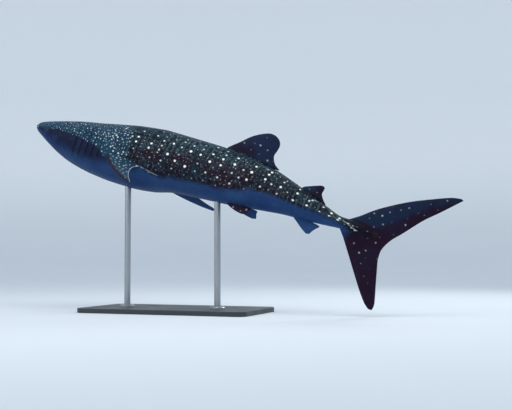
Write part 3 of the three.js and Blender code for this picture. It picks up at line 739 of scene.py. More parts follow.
# Pale lines: behind the pectoral fin, at the foot of the first dorsal fin, under the second, and a painted
# highlight along the keel.
# Each is s and distance round the body from the crown, then half width and strength.
PALE_LINES = [
    ([[2660, 1262], [2755, 1270], [2935, 1283], [3065, 1306], [3215, 1321]], 8, 0.34),
    ([[4915, 143], [5065, 167], [5205, 169], [5285, 154]], 6, 0.24),
    ([[6155, 239], [6175, 195], [6205, 143], [6255, 116], [6305, 94]], 6, 0.34),
    # A painted highlight along the keel
    ([[6900, 172], [6975, 177], [7035, 186], [7095, 210], [7155, 223]], 9, 0.45),
]
LINE_MARKS = 48

# Pale spots of the flank, and of the shoulder ahead of it: s, distance round the body from the crown, size
FLANK_SPOTS = [
    (1655, 620, 1), (1655, 785, 2), (1665, 945, 1), (1675, 730, 2), (1675, 875, 2), (1685, 525, 1),
    (1815, 730, 2), (1815, 785, 2), (1885, 655, 1), (1885, 925, 1), (1895, 820, 2), (1915, 750, 2),
    (1925, 885, 1), (1965, 390, 1), (1985, 615, 2), (1985, 810, 1), (1985, 995, 1), (2035, 725, 2),
    (2045, 875, 2), (2065, 835, 2), (2095, 760, 3), (2105, 685, 1), (2115, 935, 1),
    (2125, 1000, 2), (2165, 620, 1), (2175, 525, 3), (2175, 880, 2), (2175, 1040, 2),
    (2245, 685, 2), (2255, 740, 1), (2255, 955, 1), (2265, 830, 2), (2305, 635, 1),
    (2345, 1015, 1), (2375, 790, 1), (2395, 1085, 3), (2405, 555, 1), (2405, 920, 1),
    (2425, 715, 3), (2435, 850, 2), (2475, 1120, 2), (2505, 1065, 1), (2555, 695, 4),
    (2565, 815, 4), (2575, 505, 3), (2575, 970, 2), (2625, 285, 1), (2705, 830, 1), (2705, 895, 1),
    (2715, 750, 1), (2715, 1100, 1), (2735, 580, 1), (2855, 1280, 2), (2875, 865, 4),
    (2885, 760, 4), (2905, 530, 3), (2925, 340, 2), (2965, 1035, 2), (3015, 1325, 1),
    (3075, 220, 2), (3085, 360, 1), (3085, 475, 2), (3085, 890, 2), (3095, 605, 3), (3095, 825, 3),
    (3105, 725, 3), (3185, 1080, 1), (3205, 1010, 3), (3285, 275, 2), (3295, 465, 2),
    (3295, 840, 5), (3305, 585, 4), (3465, 1070, 2), (3475, 190, 1), (3475, 330, 2),
    (3485, 435, 3), (3485, 905, 4), (3495, 595, 3), (3515, 765, 2), (3675, 190, 2), (3695, 445, 3),
    (3705, 600, 5), (3715, 50, 1), (3715, 925, 5), (3785, 350, 1), (3805, 510, 1), (3845, 115, 2),
    (3885, 310, 2), (3895, 495, 1), (3905, 440, 3), (3905, 1085, 1), (3915, 585, 4),
    (3935, 775, 2), (3935, 930, 2), (4105, 220, 4), (4135, 465, 4), (4135, 1025, 1),
    (4145, 640, 5), (4145, 865, 3), (4235, 335, 1), (4255, 495, 1), (4255, 715, 1), (4335, 230, 3),
    (4365, 350, 3), (4365, 475, 4), (4375, 610, 4), (4395, 850, 3), (4395, 1010, 1), (4485, 5, 4),
    (4495, 690, 1), (4585, 370, 1), (4605, 290, 4), (4615, 465, 5), (4615, 525, 1), (4635, 645, 3),
    (4655, 845, 3), (4665, 530, 1), (4785, 655, 3), (4795, 280, 1), (4795, 340, 1), (4815, 475, 3),
    (4945, 610, 4), (4945, 790, 1), (4975, 430, 5), (4995, 265, 4), (5215, 175, 2), (5225, 580, 3),
    (5265, 400, 4), (5275, 455, 1), (5285, 270, 4), (5305, 185, 4), (5355, 135, 1), (5395, 115, 1),
    (5395, 535, 1), (5405, 410, 3), (5445, 245, 1), (5485, 160, 1), (5565, 495, 3), (5585, 340, 4),
    (5605, 210, 3), (5635, 145, 2), (5735, 340, 2), (5885, 400, 4), (5915, 110, 3), (5915, 230, 4),
    (6155, 310, 4), (6165, 205, 3), (6215, 145, 3), (6255, 100, 1), (6415, 255, 3), (6445, 125, 3),
    (6615, 215, 4), (6625, 135, 4), (6785, 190, 4), (6795, 145, 4), (6915, 200, 2), (6975, 170, 3),
    (6995, 190, 1), (7045, 205, 3), (7065, 170, 2), (7115, 230, 3), (7135, 155, 1), (7225, 40, 1),
    (7335, 135, 1),
]
# Pale spots of the upright fins: s, level, size
FIN_SPOTS = [
    (4855, 930, 3), (5020, 880, 2), (5085, 690, 3), (4515, 895, 2), (4700, 800, 1), (4880, 760, 1),
    (7350, 320, 2), (7500, 320, 3), (7610, 420, 2), (7780, 520, 2), (7910, 600, 2), (7940, 290, 3),
    (8505, 930, 2), (8250, 780, 1), (8090, 560, 1), (7210, 60, 3), (7310, -30, 2), (7170, -310, 2),
    (7310, -445, 3), (7410, -370, 2), (7535, -180, 2), (7560, 175, 2), (7420, 80, 1), (7400, -620, 1),
    (7520, -820, 1), (6060, 400, 1), (6220, 380, 1),
]
SPOT_RADIUS = {1: 13, 2: 16, 3: 19, 4: 23, 5: 27}
SPOT_STRENGTH = {1: 0.34, 2: 0.5, 3: 0.72, 4: 0.95, 5: 1.0}
FIN_STRENGTH = 0.5
# Stations of the main columns of spots, with wavy bars between them
COLUMNS = [
    2050, 2170, 2300, 2425, 2570, 2720, 2880, 3090, 3300, 3490, 3700, 3905, 4140, 4370, 4615, 4800, 4970,
    5270, 5420, 5590, 5740, 5900, 6160, 6430, 6620, 6790, 6975, 7140,
]
MARK_REACH = 40

# Faint small spots between the measured ones
FAINT_S = (2230, 7050, 93)
FAINT_ARC = (55, 88)
FAINT_JITTER = (14, 17)
FAINT_CLEAR = 62
FAINT_FROM_BELLY = 60
FAINT_RADIUS = (8, 12)
FAINT_STRENGTH = (0.12, 0.3)
MIRROR_JITTER = (28, 24)

# Close dots of the head and shoulder, as places along the body and values there
HEAD_TRIES = 26000
HEAD_DOTS = (60, 2480)
HEAD_ANGLES = (-32, 90)
HEAD_SPACING = ([0, 900, 1500, 2300], [42, 48, 58, 74])
HEAD_BRIGHT_SHARE = ([0, 600, 900, 1400, 1700, 2000], [0.05, 0.16, 0.3, 0.26, 0.16, 0.25])
HEAD_RADIUS = ([0, 900, 1600, 2300], [6.5, 9, 11, 13])
HEAD_BRIGHT = (0.9, 1.25)  # strength and share of the radius
HEAD_FAINT = (0.2, 0.5)
EYE_CLEAR = 75
OPENING_CLEAR = 45
SPOT_CLEAR = 26

# Dots of the fins: reach along the body, then out or up
FIN_TRIES = 5000
PECTORAL_DOTS = ((2050, 3500), (560, 1950))
PELVIC_DOTS = ((4600, 5150), (120, 320))
UPRIGHT_DOTS = ((4200, 8700), (-1300, 1200))
PAIRED_SPACING = 92.0
PELVIC_STRENGTH = 0.25
PECTORAL_FADE = ([1150, 1500], [1, 0.45])
UPRIGHT_SPACING = 190.0
UPRIGHT_CLEAR = 110
EDGE_MARKS = 190
RIM_STRENGTH = 0.42


def side_lengths(s):
    """Distances round the body from the crown to each angle of the table."""
    row = np.interp(s, girth_s, np.arange(len(girth_s)))
    i = min(int(row), len(girth_s) - 2)
    return lerp(girth_arc[i], girth_arc[i + 1], row - i)


def on_side(s, arc, side):
    """A point of the skin at s, at a distance round the body from the crown."""
    angle = np.interp(arc, side_lengths(s), girth_angle)
    return skin_place(s, angle, side)[0]


def nearest_mark(points, marks, axes=(0, 1, 2)):
    """For each point, the distance to the rim of the nearest mark and that mark's strength."""
    near = np.full(len(points), float(MARK_REACH))
    strength = np.zeros(len(points))
    order = np.argsort(points[:, 0])
    sorted_s = points[order, 0]
    flat = points[:, axes]
    for centre, radius, level in marks:
        reach = radius + MARK_REACH
        low, high = np.searchsorted(sorted_s, [centre[0] - reach, centre[0] + reach])
        some = order[low:high]
        away = np.linalg.norm(flat[some] - np.asarray(centre)[list(axes)], axis=1) - radius
        closer = away < near[some]
        near[some[closer]] = away[closer]
        strength[some[closer]] = level
    return near, strength


def faint_marks(random, side, taken):
    """Rows of faint small spots, clear of the measured ones."""
    marks = []
    for s in np.arange(*FAINT_S):
        levels = plain_point(np.full(len(girth_angle), float(s)), girth_angle)[:, 2]
        lowest = np.interp(under_edge(s) + FAINT_FROM_BELLY, levels[::-1], girth_angle[::-1])
        reach = np.interp(-lowest, -girth_angle, side_lengths(s))
        for arc in np.arange(FAINT_ARC[0], reach, FAINT_ARC[1]):
            at = np.array([s + random.normal(0, FAINT_JITTER[0]), arc + random.normal(0, FAINT_JITTER[1])])
            if np.hypot(*(taken - at).T).min() < FAINT_CLEAR:
                continue
            radius = random.uniform(*FAINT_RADIUS)
            marks.append((on_side(at[0], max(at[1], 5), side), radius, random.uniform(*FAINT_STRENGTH)))
    return marks


def flank_marks(random):
    """The spots and pale lines of both flanks. The right side is a loose mirror image."""
    marks = []
    for side in SIDES:
        taken = []
        for s, arc, size in FLANK_SPOTS:
            if side < 0:
                s = s + random.normal(0, MIRROR_JITTER[0])
                arc = arc + random.normal(0, MIRROR_JITTER[1])
                size = int(np.clip(size + random.integers(-1, 2), 1, 5))
            taken.append((s, arc))
            marks.append((on_side(s, arc, side), SPOT_RADIUS[size], SPOT_STRENGTH[size]))
        marks += faint_marks(random, side, np.array(taken))
        for line, radius, level in PALE_LINES:
            along = np.linspace(0, len(line) - 1, LINE_MARKS)
            for s, arc in zip(*(np.interp(along, range(len(line)), values) for values in zip(*line))):
                marks.append((on_side(s, arc, side), radius, level))
    return marks


def scattered(points, spacing):
    """The points that lie no nearer to an earlier one than their own spacing."""
    kept = np.empty_like(points)
    chosen = []
    for i, point in enumerate(points):
        count = len(chosen)
        if count and ((kept[:count] - point) ** 2).sum(1).min() < spacing[i] ** 2:
            continue
        kept[count] = point
        chosen.append(i)
    return points[chosen]


def head_marks(random, taken):
    """The close small dots of the head and shoulder, clear of the flank's spots."""
    s = random.uniform(*HEAD_DOTS, HEAD_TRIES)
    angle = random.uniform(*HEAD_ANGLES, HEAD_TRIES)
    side = random.choice(SIDES, HEAD_TRIES)
    points = skin_point(s, np.where(side > 0, angle, 180 - angle))[0]
    clear = points[:, 2] > dots_edge(s) + random.uniform(-25, 40, HEAD_TRIES)
    clear &= s < shoulder_edge(np.abs(arc_of(points))) + random.uniform(-60, 20, HEAD_TRIES)
    kept_clear = [(centre, EYE_CLEAR) for centre in eye_centres.values()]
    for centres in (spiracle_centres, nostril_centres):
        kept_clear += [(centre, OPENING_CLEAR) for centre in centres.values()]
    kept_clear += [(centre, radius + SPOT_CLEAR) for centre, radius, _ in taken if centre[0] < HEAD_DOTS[1]]
    for centre, distance in kept_clear:
        clear &= np.linalg.norm(points - centre, axis=1) > distance
    points, s = points[clear], s[clear]
    on_crown = 1 - smooth(np.abs(points[:, 1]), 150, 420)
    points = scattered(points, np.interp(s, *HEAD_SPACING) * (1 - 0.2 * on_crown))
    s = points[:, 0]
    bright = random.random(len(s)) < np.interp(s, *HEAD_BRIGHT_SHARE)
    radius = np.interp(s, *HEAD_RADIUS) * random.uniform(0.65, 1.15, len(s))
    radius *= np.where(bright, HEAD_BRIGHT[1], 1)
    return list(zip(points, radius, np.where(bright, HEAD_BRIGHT[0], random.uniform(*HEAD_FAINT, len(s)))))


def paired_fin_marks(random):
    """The dots on the upper side of the pectoral and pelvic fins."""
    half = FIN_TRIES // 2
    s, out = (
        np.concatenate([random.uniform(*reach, half) for reach in reaches])
        for reaches in zip(PECTORAL_DOTS, PELVIC_DOTS)
    )
    points = np.stack([s, out * random.choice(SIDES, len(s)), 0 * s], 1)
    points = scattered(points, np.full(len(s), PAIRED_SPACING))
    count = len(points)
    level = random.uniform(0.5, 1, count) * np.where(points[:, 0] < PECTORAL_END, 1, PELVIC_STRENGTH)
    level *= np.interp(np.abs(points[:, 1]), *PECTORAL_FADE)
    return list(zip(points, random.uniform(13, 21, count), level))


def pectoral_edge_marks(aft, out, start, radius):
    """Marks along one edge of both pectoral fins, given as its two columns of the fin's rows."""
    rows = between(PECTORAL, np.linspace(start, len(PECTORAL) - 1, EDGE_MARKS))
    edges = [pectoral_place(side)(rows[:, aft], rows[:, out]) for side in SIDES]
    return [(point, radius, RIM_STRENGTH) for edge in edges for point in edge]


def upright_fin_marks(random):
    """The measured spots of the dorsal and tail fins, with faint ones scattered between them."""
    marks = [((s, 0, z), SPOT_RADIUS[size], FIN_STRENGTH * SPOT_STRENGTH[size]) for s, z, size in FIN_SPOTS]
    taken = np.array(FIN_SPOTS)
    s, z = (random.uniform(*reach, FIN_TRIES) for reach in UPRIGHT_DOTS)
    clear = np.hypot(taken[:, :1] - s, taken[:, 1:2] - z).min(0) > UPRIGHT_CLEAR
    points = scattered(np.stack([s, 0 * s, z], 1)[clear], np.full(clear.sum(), UPRIGHT_SPACING))
    count = len(points)
    return [*marks, *zip(points, random.uniform(9, 13, count), random.uniform(0.08, 0.15, count))]


def attribute(mesh, name, values):
    kind = "FLOAT" if values.ndim == 1 else "FLOAT_VECTOR"
    made = mesh.attributes.new(name, kind, "POINT")
    made.data.foreach_set("value" if values.ndim == 1 else "vector", values.astype(np.float32).ravel())


# Where the skin's tones begin and end. Most pairs are the low and high end of a smooth step.
PAIRED_BELOW = 150
PECTORAL_END = 3600
PELVIC_REACH = (4500, 5200)
TAIL_START = 7000
# A band of painted shade along the pectoral fins' leading edges: its width and blur
LEAD_BAND = 50
LEAD_BLUR = (-22, 8)
RIM_START = 1.4
RIM_RADIUS = 11
SHOULDER_BLUR = (800, 380)  # on the back and down the side
SHOULDER_ROUND = (250, 750)
BACK_TEAL = 0.37
BACK_START = (2300, 3300)
BACK_ROUND = (420, 900)
BACK_END = (6700, 7100)
# Maroon painted shade low on the flank: its reach above the belly's edge, and where it begins and thins
# along the body
LOW_FLANK = (3, 9)
LOW_FLANK_START = (2300, 2900)
LOW_FLANK_END = (5000, 6000)
# Maroon painted shade on the lower fins, the tail's root and the tail fin below its upper lobe
LOW_TAIL = (60, 420)
TAIL_BASE = (6980, 7280)
TAIL_TRAIL = (-60, 130)
TAIL_ROOT = 6750  # ahead of this the flank's spots stay off the fins
TAIL_UNDER = (6900, 160)  # where the belly's share fades out below the tail, and how fast
# Violet painted shade on the head's side below its dots, partly the side's darker pigment: reach below the
# dots' edge, and where it ends
HEAD_SIDE = (-30, 60)
HEAD_SIDE_END = (2000, 2300)
ANAL_START = (5700, 5800)
ANAL_END = (6500, 6600)


def fin_under(under, normals, s, paired, upright):
    """The belly's share on fins: the underside of the paired ones, and the lower front of the tail."""
    under = np.where(paired > 0, lerp(under, -normals[:, 2] * 4 - 1.2, paired), under)
    fading = np.minimum(under, 0.4 - (s - TAIL_UNDER[0]) / TAIL_UNDER[1])
    return np.where(upright > 0, lerp(under, fading, upright), under)


def teal_share(s, around, paired, upright, rim):
    """How far the head's teal shows: on head, shoulder and pectoral fins, and faintly on the back."""
    blur = lerp(*SHOULDER_BLUR, smooth(around, *SHOULDER_ROUND))
    head = np.clip(0.5 + (shoulder_edge(around) - s) / blur, 0, 1)
    back = BACK_TEAL * smooth(s, *BACK_START) * (1 - smooth(s, *BACK_END))
    back = back * (1 - smooth(around, *BACK_ROUND))
    teal = np.maximum(head, back) * (1 - upright)
    # No teal where the paired fins carry painted shade
    return np.maximum(teal, paired * (s < PECTORAL_END)) * (1 - paired * rim)


def maroon_shade_share(s, z, under, fin, paired, upright, rim):
    """How far maroon painted shade shows: low on the flank, at the tail and on the edges and downward faces
    of the paired fins.
    """
    flank = (1 - smooth(-under, *LOW_FLANK)) * smooth(s, *LOW_FLANK_START) * (1 - fin)
    shares = (
        flank * (1 - 0.6 * smooth(s, *LOW_FLANK_END)),
        upright * smooth(-z, *LOW_TAIL),
        paired * np.maximum(0.85 * rim, 0.8 * (s > PECTORAL_END)),
        0.95 * smooth(s, *TAIL_BASE) * (1 - smooth(fin, 0.5, 1)),
        0.85 * upright * (s > TAIL_START) * smooth(tail_middle(s) - z, *TAIL_TRAIL),
    )
    return np.max(shares, axis=0)


def set_marks(mesh, points, normals, fin):
    """Stores on each point what the skin's material needs to know about its place."""
    random = np.random.default_rng(11)
    s, _, z = points.T
    on_pelvic = (s > PELVIC_REACH[0]) & (s < PELVIC_REACH[1])
    paired = fin * (z < PAIRED_BELOW) * ((s < PECTORAL_END) | on_pelvic)
    upright = fin * (paired == 0)
    flank = flank_marks(random)
    near, strength = nearest_mark(points, flank + head_marks(random, flank))
    strength = strength * (1 - smooth(fin, 0.3, 0.8) * (s < TAIL_ROOT))
    off_lead = nearest_mark(points, pectoral_edge_marks(0, 1, 0, LEAD_BAND))[0]
    # Painted shade on the paired fins: faces not turned up, and the band along the leading edge
    rim = np.maximum(smooth(0.34 - normals[:, 2], 0, 0.3), smooth(-off_lead, *LEAD_BLUR))
    on_top = paired * (normals[:, 2] > 0.1) * (rim < 0.4)
    for mask, found in (
        (on_top, nearest_mark(points, paired_fin_marks(random), (0, 1))),
        (paired, nearest_mark(points, pectoral_edge_marks(2, 3, RIM_START, RIM_RADIUS))),
        (upright, nearest_mark(points, upright_fin_marks(random), (0, 2))),
    ):
        use = (mask > 0.5) & (found[0] < near)
        near[use] = found[0][use]
        strength[use] = found[1][use]
    column = np.interp(s, COLUMNS, np.arange(len(COLUMNS)))
    under = fin_under((under_edge(s) - z) / under_blur(s), normals, s, paired, upright)
    teal = teal_share(s, np.abs(arc_of(points)), paired, upright, rim)
    painted_shade = maroon_shade_share(s, z, under, fin, paired, upright, rim)
    # Violet painted shade below the head's dots, partly the side's darker pigment
    head_shade = smooth(dots_edge(s) - z, *HEAD_SIDE) * (1 - smooth(s, *HEAD_SIDE_END)) * (1 - fin)
    anal = fin * (z < 0) * smooth(s, *ANAL_START) * (1 - smooth(s, *ANAL_END))
    attribute(mesh, "straight", points / 1000)
    attribute(mesh, "chart", np.stack([column, anal, 0 * s], 1))
    attribute(mesh, "mark", np.stack([near, strength, fin], 1))
    attribute(mesh, "tone", np.stack([under, teal, painted_shade - head_shade], 1))


def point_values(items, name, width, kind=np.float32):
    """One value list of a mesh's points or edges, as rows."""
    values = np.empty(len(items) * width, kind)
    items.foreach_get(name, values)
    return values.reshape(-1, width)


def set_points(mesh, points):
    mesh.vertices.foreach_set("co", points.astype(np.float32).ravel())
    mesh.update()


def build_skin():
    s, angle = trunk_grid()
    point, normal = skin_point(s, angle)
    tip = np.array([MOUTH_DEPTH[0], 0.0, MOUTH_LEVEL])
    trunk = object_from("trunk", [closed_form(openings(point, normal, s), tip)])
    fins = object_from("fins", [
        *(midline_fin(rows) for rows in (DORSAL_FIRST, DORSAL_SECOND, ANAL, TAIL_FIN)),
        *(make(side) for make in (pectoral_fin, pelvic_fin, barbel) for side in SIDES),
    ])
    mesh = union(trunk, fins)
    mesh.name = "skin"
    points = point_values(mesh.vertices, "co", 3).astype(float)
    edges = point_values(mesh.edges, "vertices", 2, np.int32)
    points = fillet(points, edges, proud_of_trunk(points))
    set_points(mesh, points)
    normals = point_values(mesh.vertices, "normal", 3)
    set_marks(mesh, points, normals, smooth(proud_of_trunk(points), *FIN_TONE))
    set_points(mesh, posed(points))
    mesh.flip_normals()
    mesh.polygons.foreach_set("use_smooth", np.ones(len(mesh.polygons), bool))
    mesh.update()
    return placed("skin", mesh)


class Nodes:
    """A material's nodes, made one by one."""

    def __init__(self, name):
        self.material = bpy.data.materials.new(name)
        self.material.use_nodes = True
        self.tree = self.material.node_tree
        self.shader = self.tree.nodes["Principled BSDF"]

    def add(self, kind, inputs=None, **settings):
        node = self.tree.nodes.new(kind)
        for key, value in settings.items():
            setattr(node, key, value)
        for key, value in (inputs or {}).items():
            if isinstance(value, bpy.types.NodeSocket):
                self.tree.links.new(value, node.inputs[key])
            else:
                node.inputs[key].default_value = value
        return node

    def attribute(self, name):
        return self.add("ShaderNodeAttribute", attribute_name=name)

    def math(self, operation, a, b=0.0):
        return self.add("ShaderNodeMath", {0: a, 1: b}, operation=operation).outputs[0]

    def times(self, a, b):
        return self.math("MULTIPLY", a, b)

    def swing(self, noise, width):
        """A noise brought to lie round nought."""
        return self.times(self.math("SUBTRACT", noise, 0.5), width)

    def edge(self, value, low, high, start=0.0, end=1.0):
        """A smooth step of value from low to high."""
        inputs = {"Value": value, "From Min": low, "From Max": high, "To Min": start, "To Max": end}
        return self.add("ShaderNodeMapRange", inputs, interpolation_type="SMOOTHSTEP").outputs["Result"]

    def noise(self, vector, scale, detail=2.0):
        inputs = {"Vector": vector, "Scale": scale, "Detail": detail}
        return self.add("ShaderNodeTexNoise", inputs).outputs["Fac"]

    def mix(self, share, a, b):
        """Mixes two colours, each a node's or one given as on screen."""
        a, b = (srgb(*colour) if isinstance(colour, tuple) else colour for colour in (a, b))
        return self.add("ShaderNodeMix", {0: share, 6: a, 7: b}, data_type="RGBA").outputs[2]

    def separate(self, vector):
        return self.add("ShaderNodeSeparateXYZ", {0: vector}).outputs

    def set(self, **values):
        for key, value in values.items():
            socket = self.shader.inputs[key.replace("_", " ")]
            if isinstance(value, bpy.types.NodeSocket):
                self.tree.links.new(value, socket)
            else:
                socket.default_value = value

    def bump(self, height, strength, distance):
        inputs = {"Height": height, "Strength": strength, "Distance": distance}
        return self.add("ShaderNodeBump", inputs).outputs[0]


def srgb(r, g, b):
    """A colour given as on screen, 0 to 255."""
    def linear(x):
        x /= 255
        return x / 12.92 if x <= 0.04045 else ((x + 0.055) / 1.055) ** 2.4

    return (linear(r), linear(g), linear(b), 1)


# The skin's colours, as on screen. Those in pairs change over in broad patches.
TRUNK_DARK = ((5, 17, 34), (10, 30, 45))
HEAD_BLUE = ((13, 44, 67), (23, 60, 82))
BACK_BLUE = (15, 46, 53)
# Maroon painted shade, low on the flank
LOW_SHADE_MAROON = ((36, 10, 22), (19, 12, 28))
# Violet painted shade below the head's dots, partly the side's darker pigment
HEAD_SHADE_VIOLET = (22, 19, 47)
FIN_BLUE = ((26, 17, 40), (20, 35, 60))
# Maroon painted shade on the fins
FIN_SHADE_MAROON = (32, 9, 32)
ANAL_BLUE = (28, 52, 84)
DARK_SPECK = (6, 12, 20)
CLOUD_BLUE = (34, 64, 80)
THREAD_PALE = (92, 130, 146)
BAR_PALE = (110, 142, 152)
HALO_PALE = (90, 124, 138)
SPOT_WHITE = (240, 243, 232)
# The pale belly painted dark blue-grey, with darker flecks: painted shade
SHADED_BELLY_BLUE = ((28, 56, 99), (41, 71, 114))
SHADED_BELLY_SPECK = (22, 43, 82)


def skin_material():
    n = Nodes("skin")
    straight = n.attribute("straight").outputs["Vector"]
    column, anal, _ = n.separate(n.attribute("chart").outputs["Vector"])
    near, strength, fin = n.separate(n.attribute("mark").outputs["Vector"])
    under, teal, painted_shade = n.separate(n.attribute("tone").outputs["Vector"])
    broad = n.noise(straight, 1.7, 3)
    middle = n.noise(straight, 7, 3)
    fine = n.noise(straight, 34, 4)
    grain = n.noise(straight, 150, 3)
    off_fin = n.edge(fin, 0.9, 0.2)
    ahead_of_tail = n.edge(column, 26.0, 24.5)

    def patches(pair, low, high):
        return n.mix(n.edge(broad, low, high), *pair)

    # Ground: teal head and pectoral fins, near-black trunk, maroon painted shade low, violet painted shade
    # under the head's dots, partly the side's darker pigment
    ground = patches(TRUNK_DARK, 0.35, 0.65)
    patchy = n.edge(n.math("ADD", teal, n.swing(middle, 0.9)), 0.2, 0.7)
    teal_colour = n.mix(n.edge(teal, 0.35, 0.7), BACK_BLUE, patches(HEAD_BLUE, 0.35, 0.65))
    ground = n.mix(n.times(patchy, n.edge(teal, 0.02, 0.3)), ground, teal_colour)
    # Maroon painted shade, low on the flank and on the fins
    maroon_shade_mix = n.edge(painted_shade, 0.0, 1.0, 0.0, 0.8)
    ground = n.mix(maroon_shade_mix, ground, patches(LOW_SHADE_MAROON, 0.42, 0.6))
    # Violet painted shade below the head's dots
    ground = n.mix(n.edge(painted_shade, 0.0, -1.0, 0.0, 0.85), ground, HEAD_SHADE_VIOLET)
    dark_fin = n.times(n.edge(fin, 0.2, 0.9), n.edge(teal, 0.5, 0.1))
    ground = n.mix(dark_fin, ground, n.mix(maroon_shade_mix, patches(FIN_BLUE, 0.43, 0.57), FIN_SHADE_MAROON))
    ground = n.mix(anal, ground, ANAL_BLUE)
    ground = n.mix(n.edge(fine, 0.48, 0.72, 0.0, 0.3), ground, DARK_SPECK)
    ground = n.mix(n.times(n.edge(middle, 0.5, 0.7, 0.0, 0.3), off_fin), ground, CLOUD_BLUE)

    # Fine pale threads, and wavy pale bars between the columns of spots, two to a column
    off_thread = n.math("ABSOLUTE", n.math("SUBTRACT", n.noise(straight, 10, 2), 0.5))
    thread = n.times(n.edge(off_thread, 0.03, 0.006), n.edge(painted_shade, -0.6, 0.0, 0.0, 0.2))
    ground = n.mix(n.times(n.times(thread, ahead_of_tail), off_fin), ground, THREAD_PALE)
    phase = n.math("FRACT", n.math("ADD", n.times(column, 2.0), n.swing(middle, 0.7)))
    off_bar = n.math("ABSOLUTE", n.math("SUBTRACT", phase, 0.5))
    broken = n.edge(n.noise(straight, 5, 2), 0.4, 0.58, 0.0, 0.3)
    on_trunk = n.times(n.edge(column, 0.8, 2.5), n.edge(fin, 0.5, 0.1))
    on_trunk = n.times(n.times(on_trunk, n.edge(painted_shade, 1.0, 0.3)), ahead_of_tail)
    bar = n.times(n.times(n.edge(off_bar, 0.13, 0.03), broken), on_trunk)
    pattern = n.mix(bar, ground, BAR_PALE)

    # Spots, with slightly uneven rims
    halo = n.times(n.edge(near, 16.0, -4.0), n.times(strength, 0.22))
    pattern = n.mix(halo, pattern, HALO_PALE)
    spot = n.times(n.edge(n.math("ADD", near, n.swing(fine, 14.0)), 3.0, -3.5), strength)
    pattern = n.mix(spot, pattern, SPOT_WHITE)

    # Belly: its pale colour painted dark blue-grey, as painted shade
    ragged = n.math("ADD", under, n.swing(middle, 1.1))
    belly = patches(SHADED_BELLY_BLUE, 0.3, 0.7)
    belly = n.mix(n.edge(fine, 0.45, 0.75, 0.0, 0.3), belly, SHADED_BELLY_SPECK)

    height = n.math("ADD", n.times(grain, 0.5), n.times(fine, 1.2))
    n.set(
        Base_Color=n.mix(n.edge(ragged, -0.8, 0.8), pattern, belly),
        Roughness=n.edge(fine, 0.3, 0.7, 0.52, 0.68),
        Specular_IOR_Level=0.1,
        Normal=n.bump(height, 0.35, 0.004),
    )
    return n.material


def eye_material():
    n = Nodes("eye")
    ring = n.attribute("ring").outputs["Fac"]
    straight = n.attribute("straight").outputs["Vector"]
    iris = n.mix(n.noise(straight, 260, 3), (42, 46, 48), (72, 76, 74))
    colour = n.mix(n.edge(ring, 0.36, 0.4), (4, 5, 6), iris)
    colour = n.mix(n.edge(ring, 0.62, 0.68), colour, (20, 22, 24))
    n.set(Base_Color=colour, Roughness=0.08, IOR=1.4)
    return n.material


def paint_material():
    n = Nodes("stand_paint")
    place = n.add("ShaderNodeTexCoord").outputs["Object"]
    cloud = n.noise(place, 3, 4)
    speck = n.noise(place, 220, 2)
    n.set(
        Base_Color=n.mix(cloud, (44, 47, 52), (54, 57, 62)),
        Roughness=n.edge(cloud, 0.3, 0.7, 0.42, 0.55),
        Normal=n.bump(speck, 0.15, 0.001),
    )
    return n.material


def steel_material():
    n = Nodes("stand_steel")
    place = n.add("ShaderNodeTexCoord").outputs["Object"]
    stretched = n.add("ShaderNodeVectorMath", {0: place, 1: (40, 40, 1.5)}, operation="MULTIPLY")
    brushed = n.noise(stretched.outputs[0], 6, 4)
    n.set(
        Base_Color=n.mix(brushed, (150, 154, 158), (186, 189, 192)),
        Metallic=1.0,
        Roughness=n.edge(brushed, 0.3, 0.7, 0.26, 0.42),
        Normal=n.bump(brushed, 0.1, 0.0005),
    )
    return n.material


EYE_RINGS = 28
EYE_SIDES = 40


def build_eye(name, side, material):
    """An eyeball with its iris facing out."""
    mesh = bpy.data.meshes.new(name)
    polar = np.linspace(0, np.pi, EYE_RINGS + 1)[1:-1]
    turn = np.arange(EYE_SIDES) / EYE_SIDES * 2 * np.pi
    polar, turn = np.meshgrid(polar, turn, indexing="ij")
    ball = np.stack([np.sin(polar) * np.cos(turn), side * np.cos(polar), np.sin(polar) * np.sin(turn)], -1)
    ends = np.array([[0, side, 0], [0, -side, 0]], float)
    unit = np.concatenate([ball.reshape(-1, 3), ends])
    points = eye_centres[side] + unit * EYE_RADIUS
    mesh.from_pydata(posed(points).tolist(), [], grid_faces(EYE_RINGS - 1, EYE_SIDES))
    mesh.update()
    attribute(mesh, "ring", np.arccos(np.clip(unit[:, 1] * side, -1, 1)))
    attribute(mesh, "straight", points / 1000)
    mesh.polygons.foreach_set("use_smooth", np.ones(len(mesh.polygons), bool))
    mesh.materials.append(material)
    made = placed(name, mesh)
    centre = sum((Vector(p) for p in posed(points)), Vector()) / len(points)
    first = mesh.polygons[0]
    if first.normal.dot(first.center - centre) < 0:
        mesh.flip_normals()
    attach(made, "root")
    return made


skin = build_skin()
skin.data.materials.clear()
skin.data.materials.append(skin_material())
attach(skin, "root")
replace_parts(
    skin,
    "head",
    "torso_front",
    "torso_rear",
    "tail_stalk",
    "tail_fin_upper",
    "tail_fin_lower",
    "dorsal_fin_first",
    "dorsal_fin_second",
    "anal_fin",
    "pectoral_fin_left",
    "pectoral_fin_right",
    "pelvic_fin_left",
    "pelvic_fin_right",
)

eye_finish = eye_material()
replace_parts(build_eye("eyeball_left", 1, eye_finish), "eye_left")
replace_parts(build_eye("eyeball_right", -1, eye_finish), "eye_right")

nodes["stand_base"].material_slots[0].material = paint_material()
steel = steel_material()
for name in ("stand_rod_front", "stand_rod_rear"):
    nodes[name].material_slots[0].material = steel


# Floor, light and camera. The floor's section is given as radius and height.
SWEEP = [(0, 0), (12, 0), (24, 0), (34, 0.5), (44, 2.5), (53, 7), (59, 14), (62, 24), (63, 40)]
SWEEP_SIDES = 96


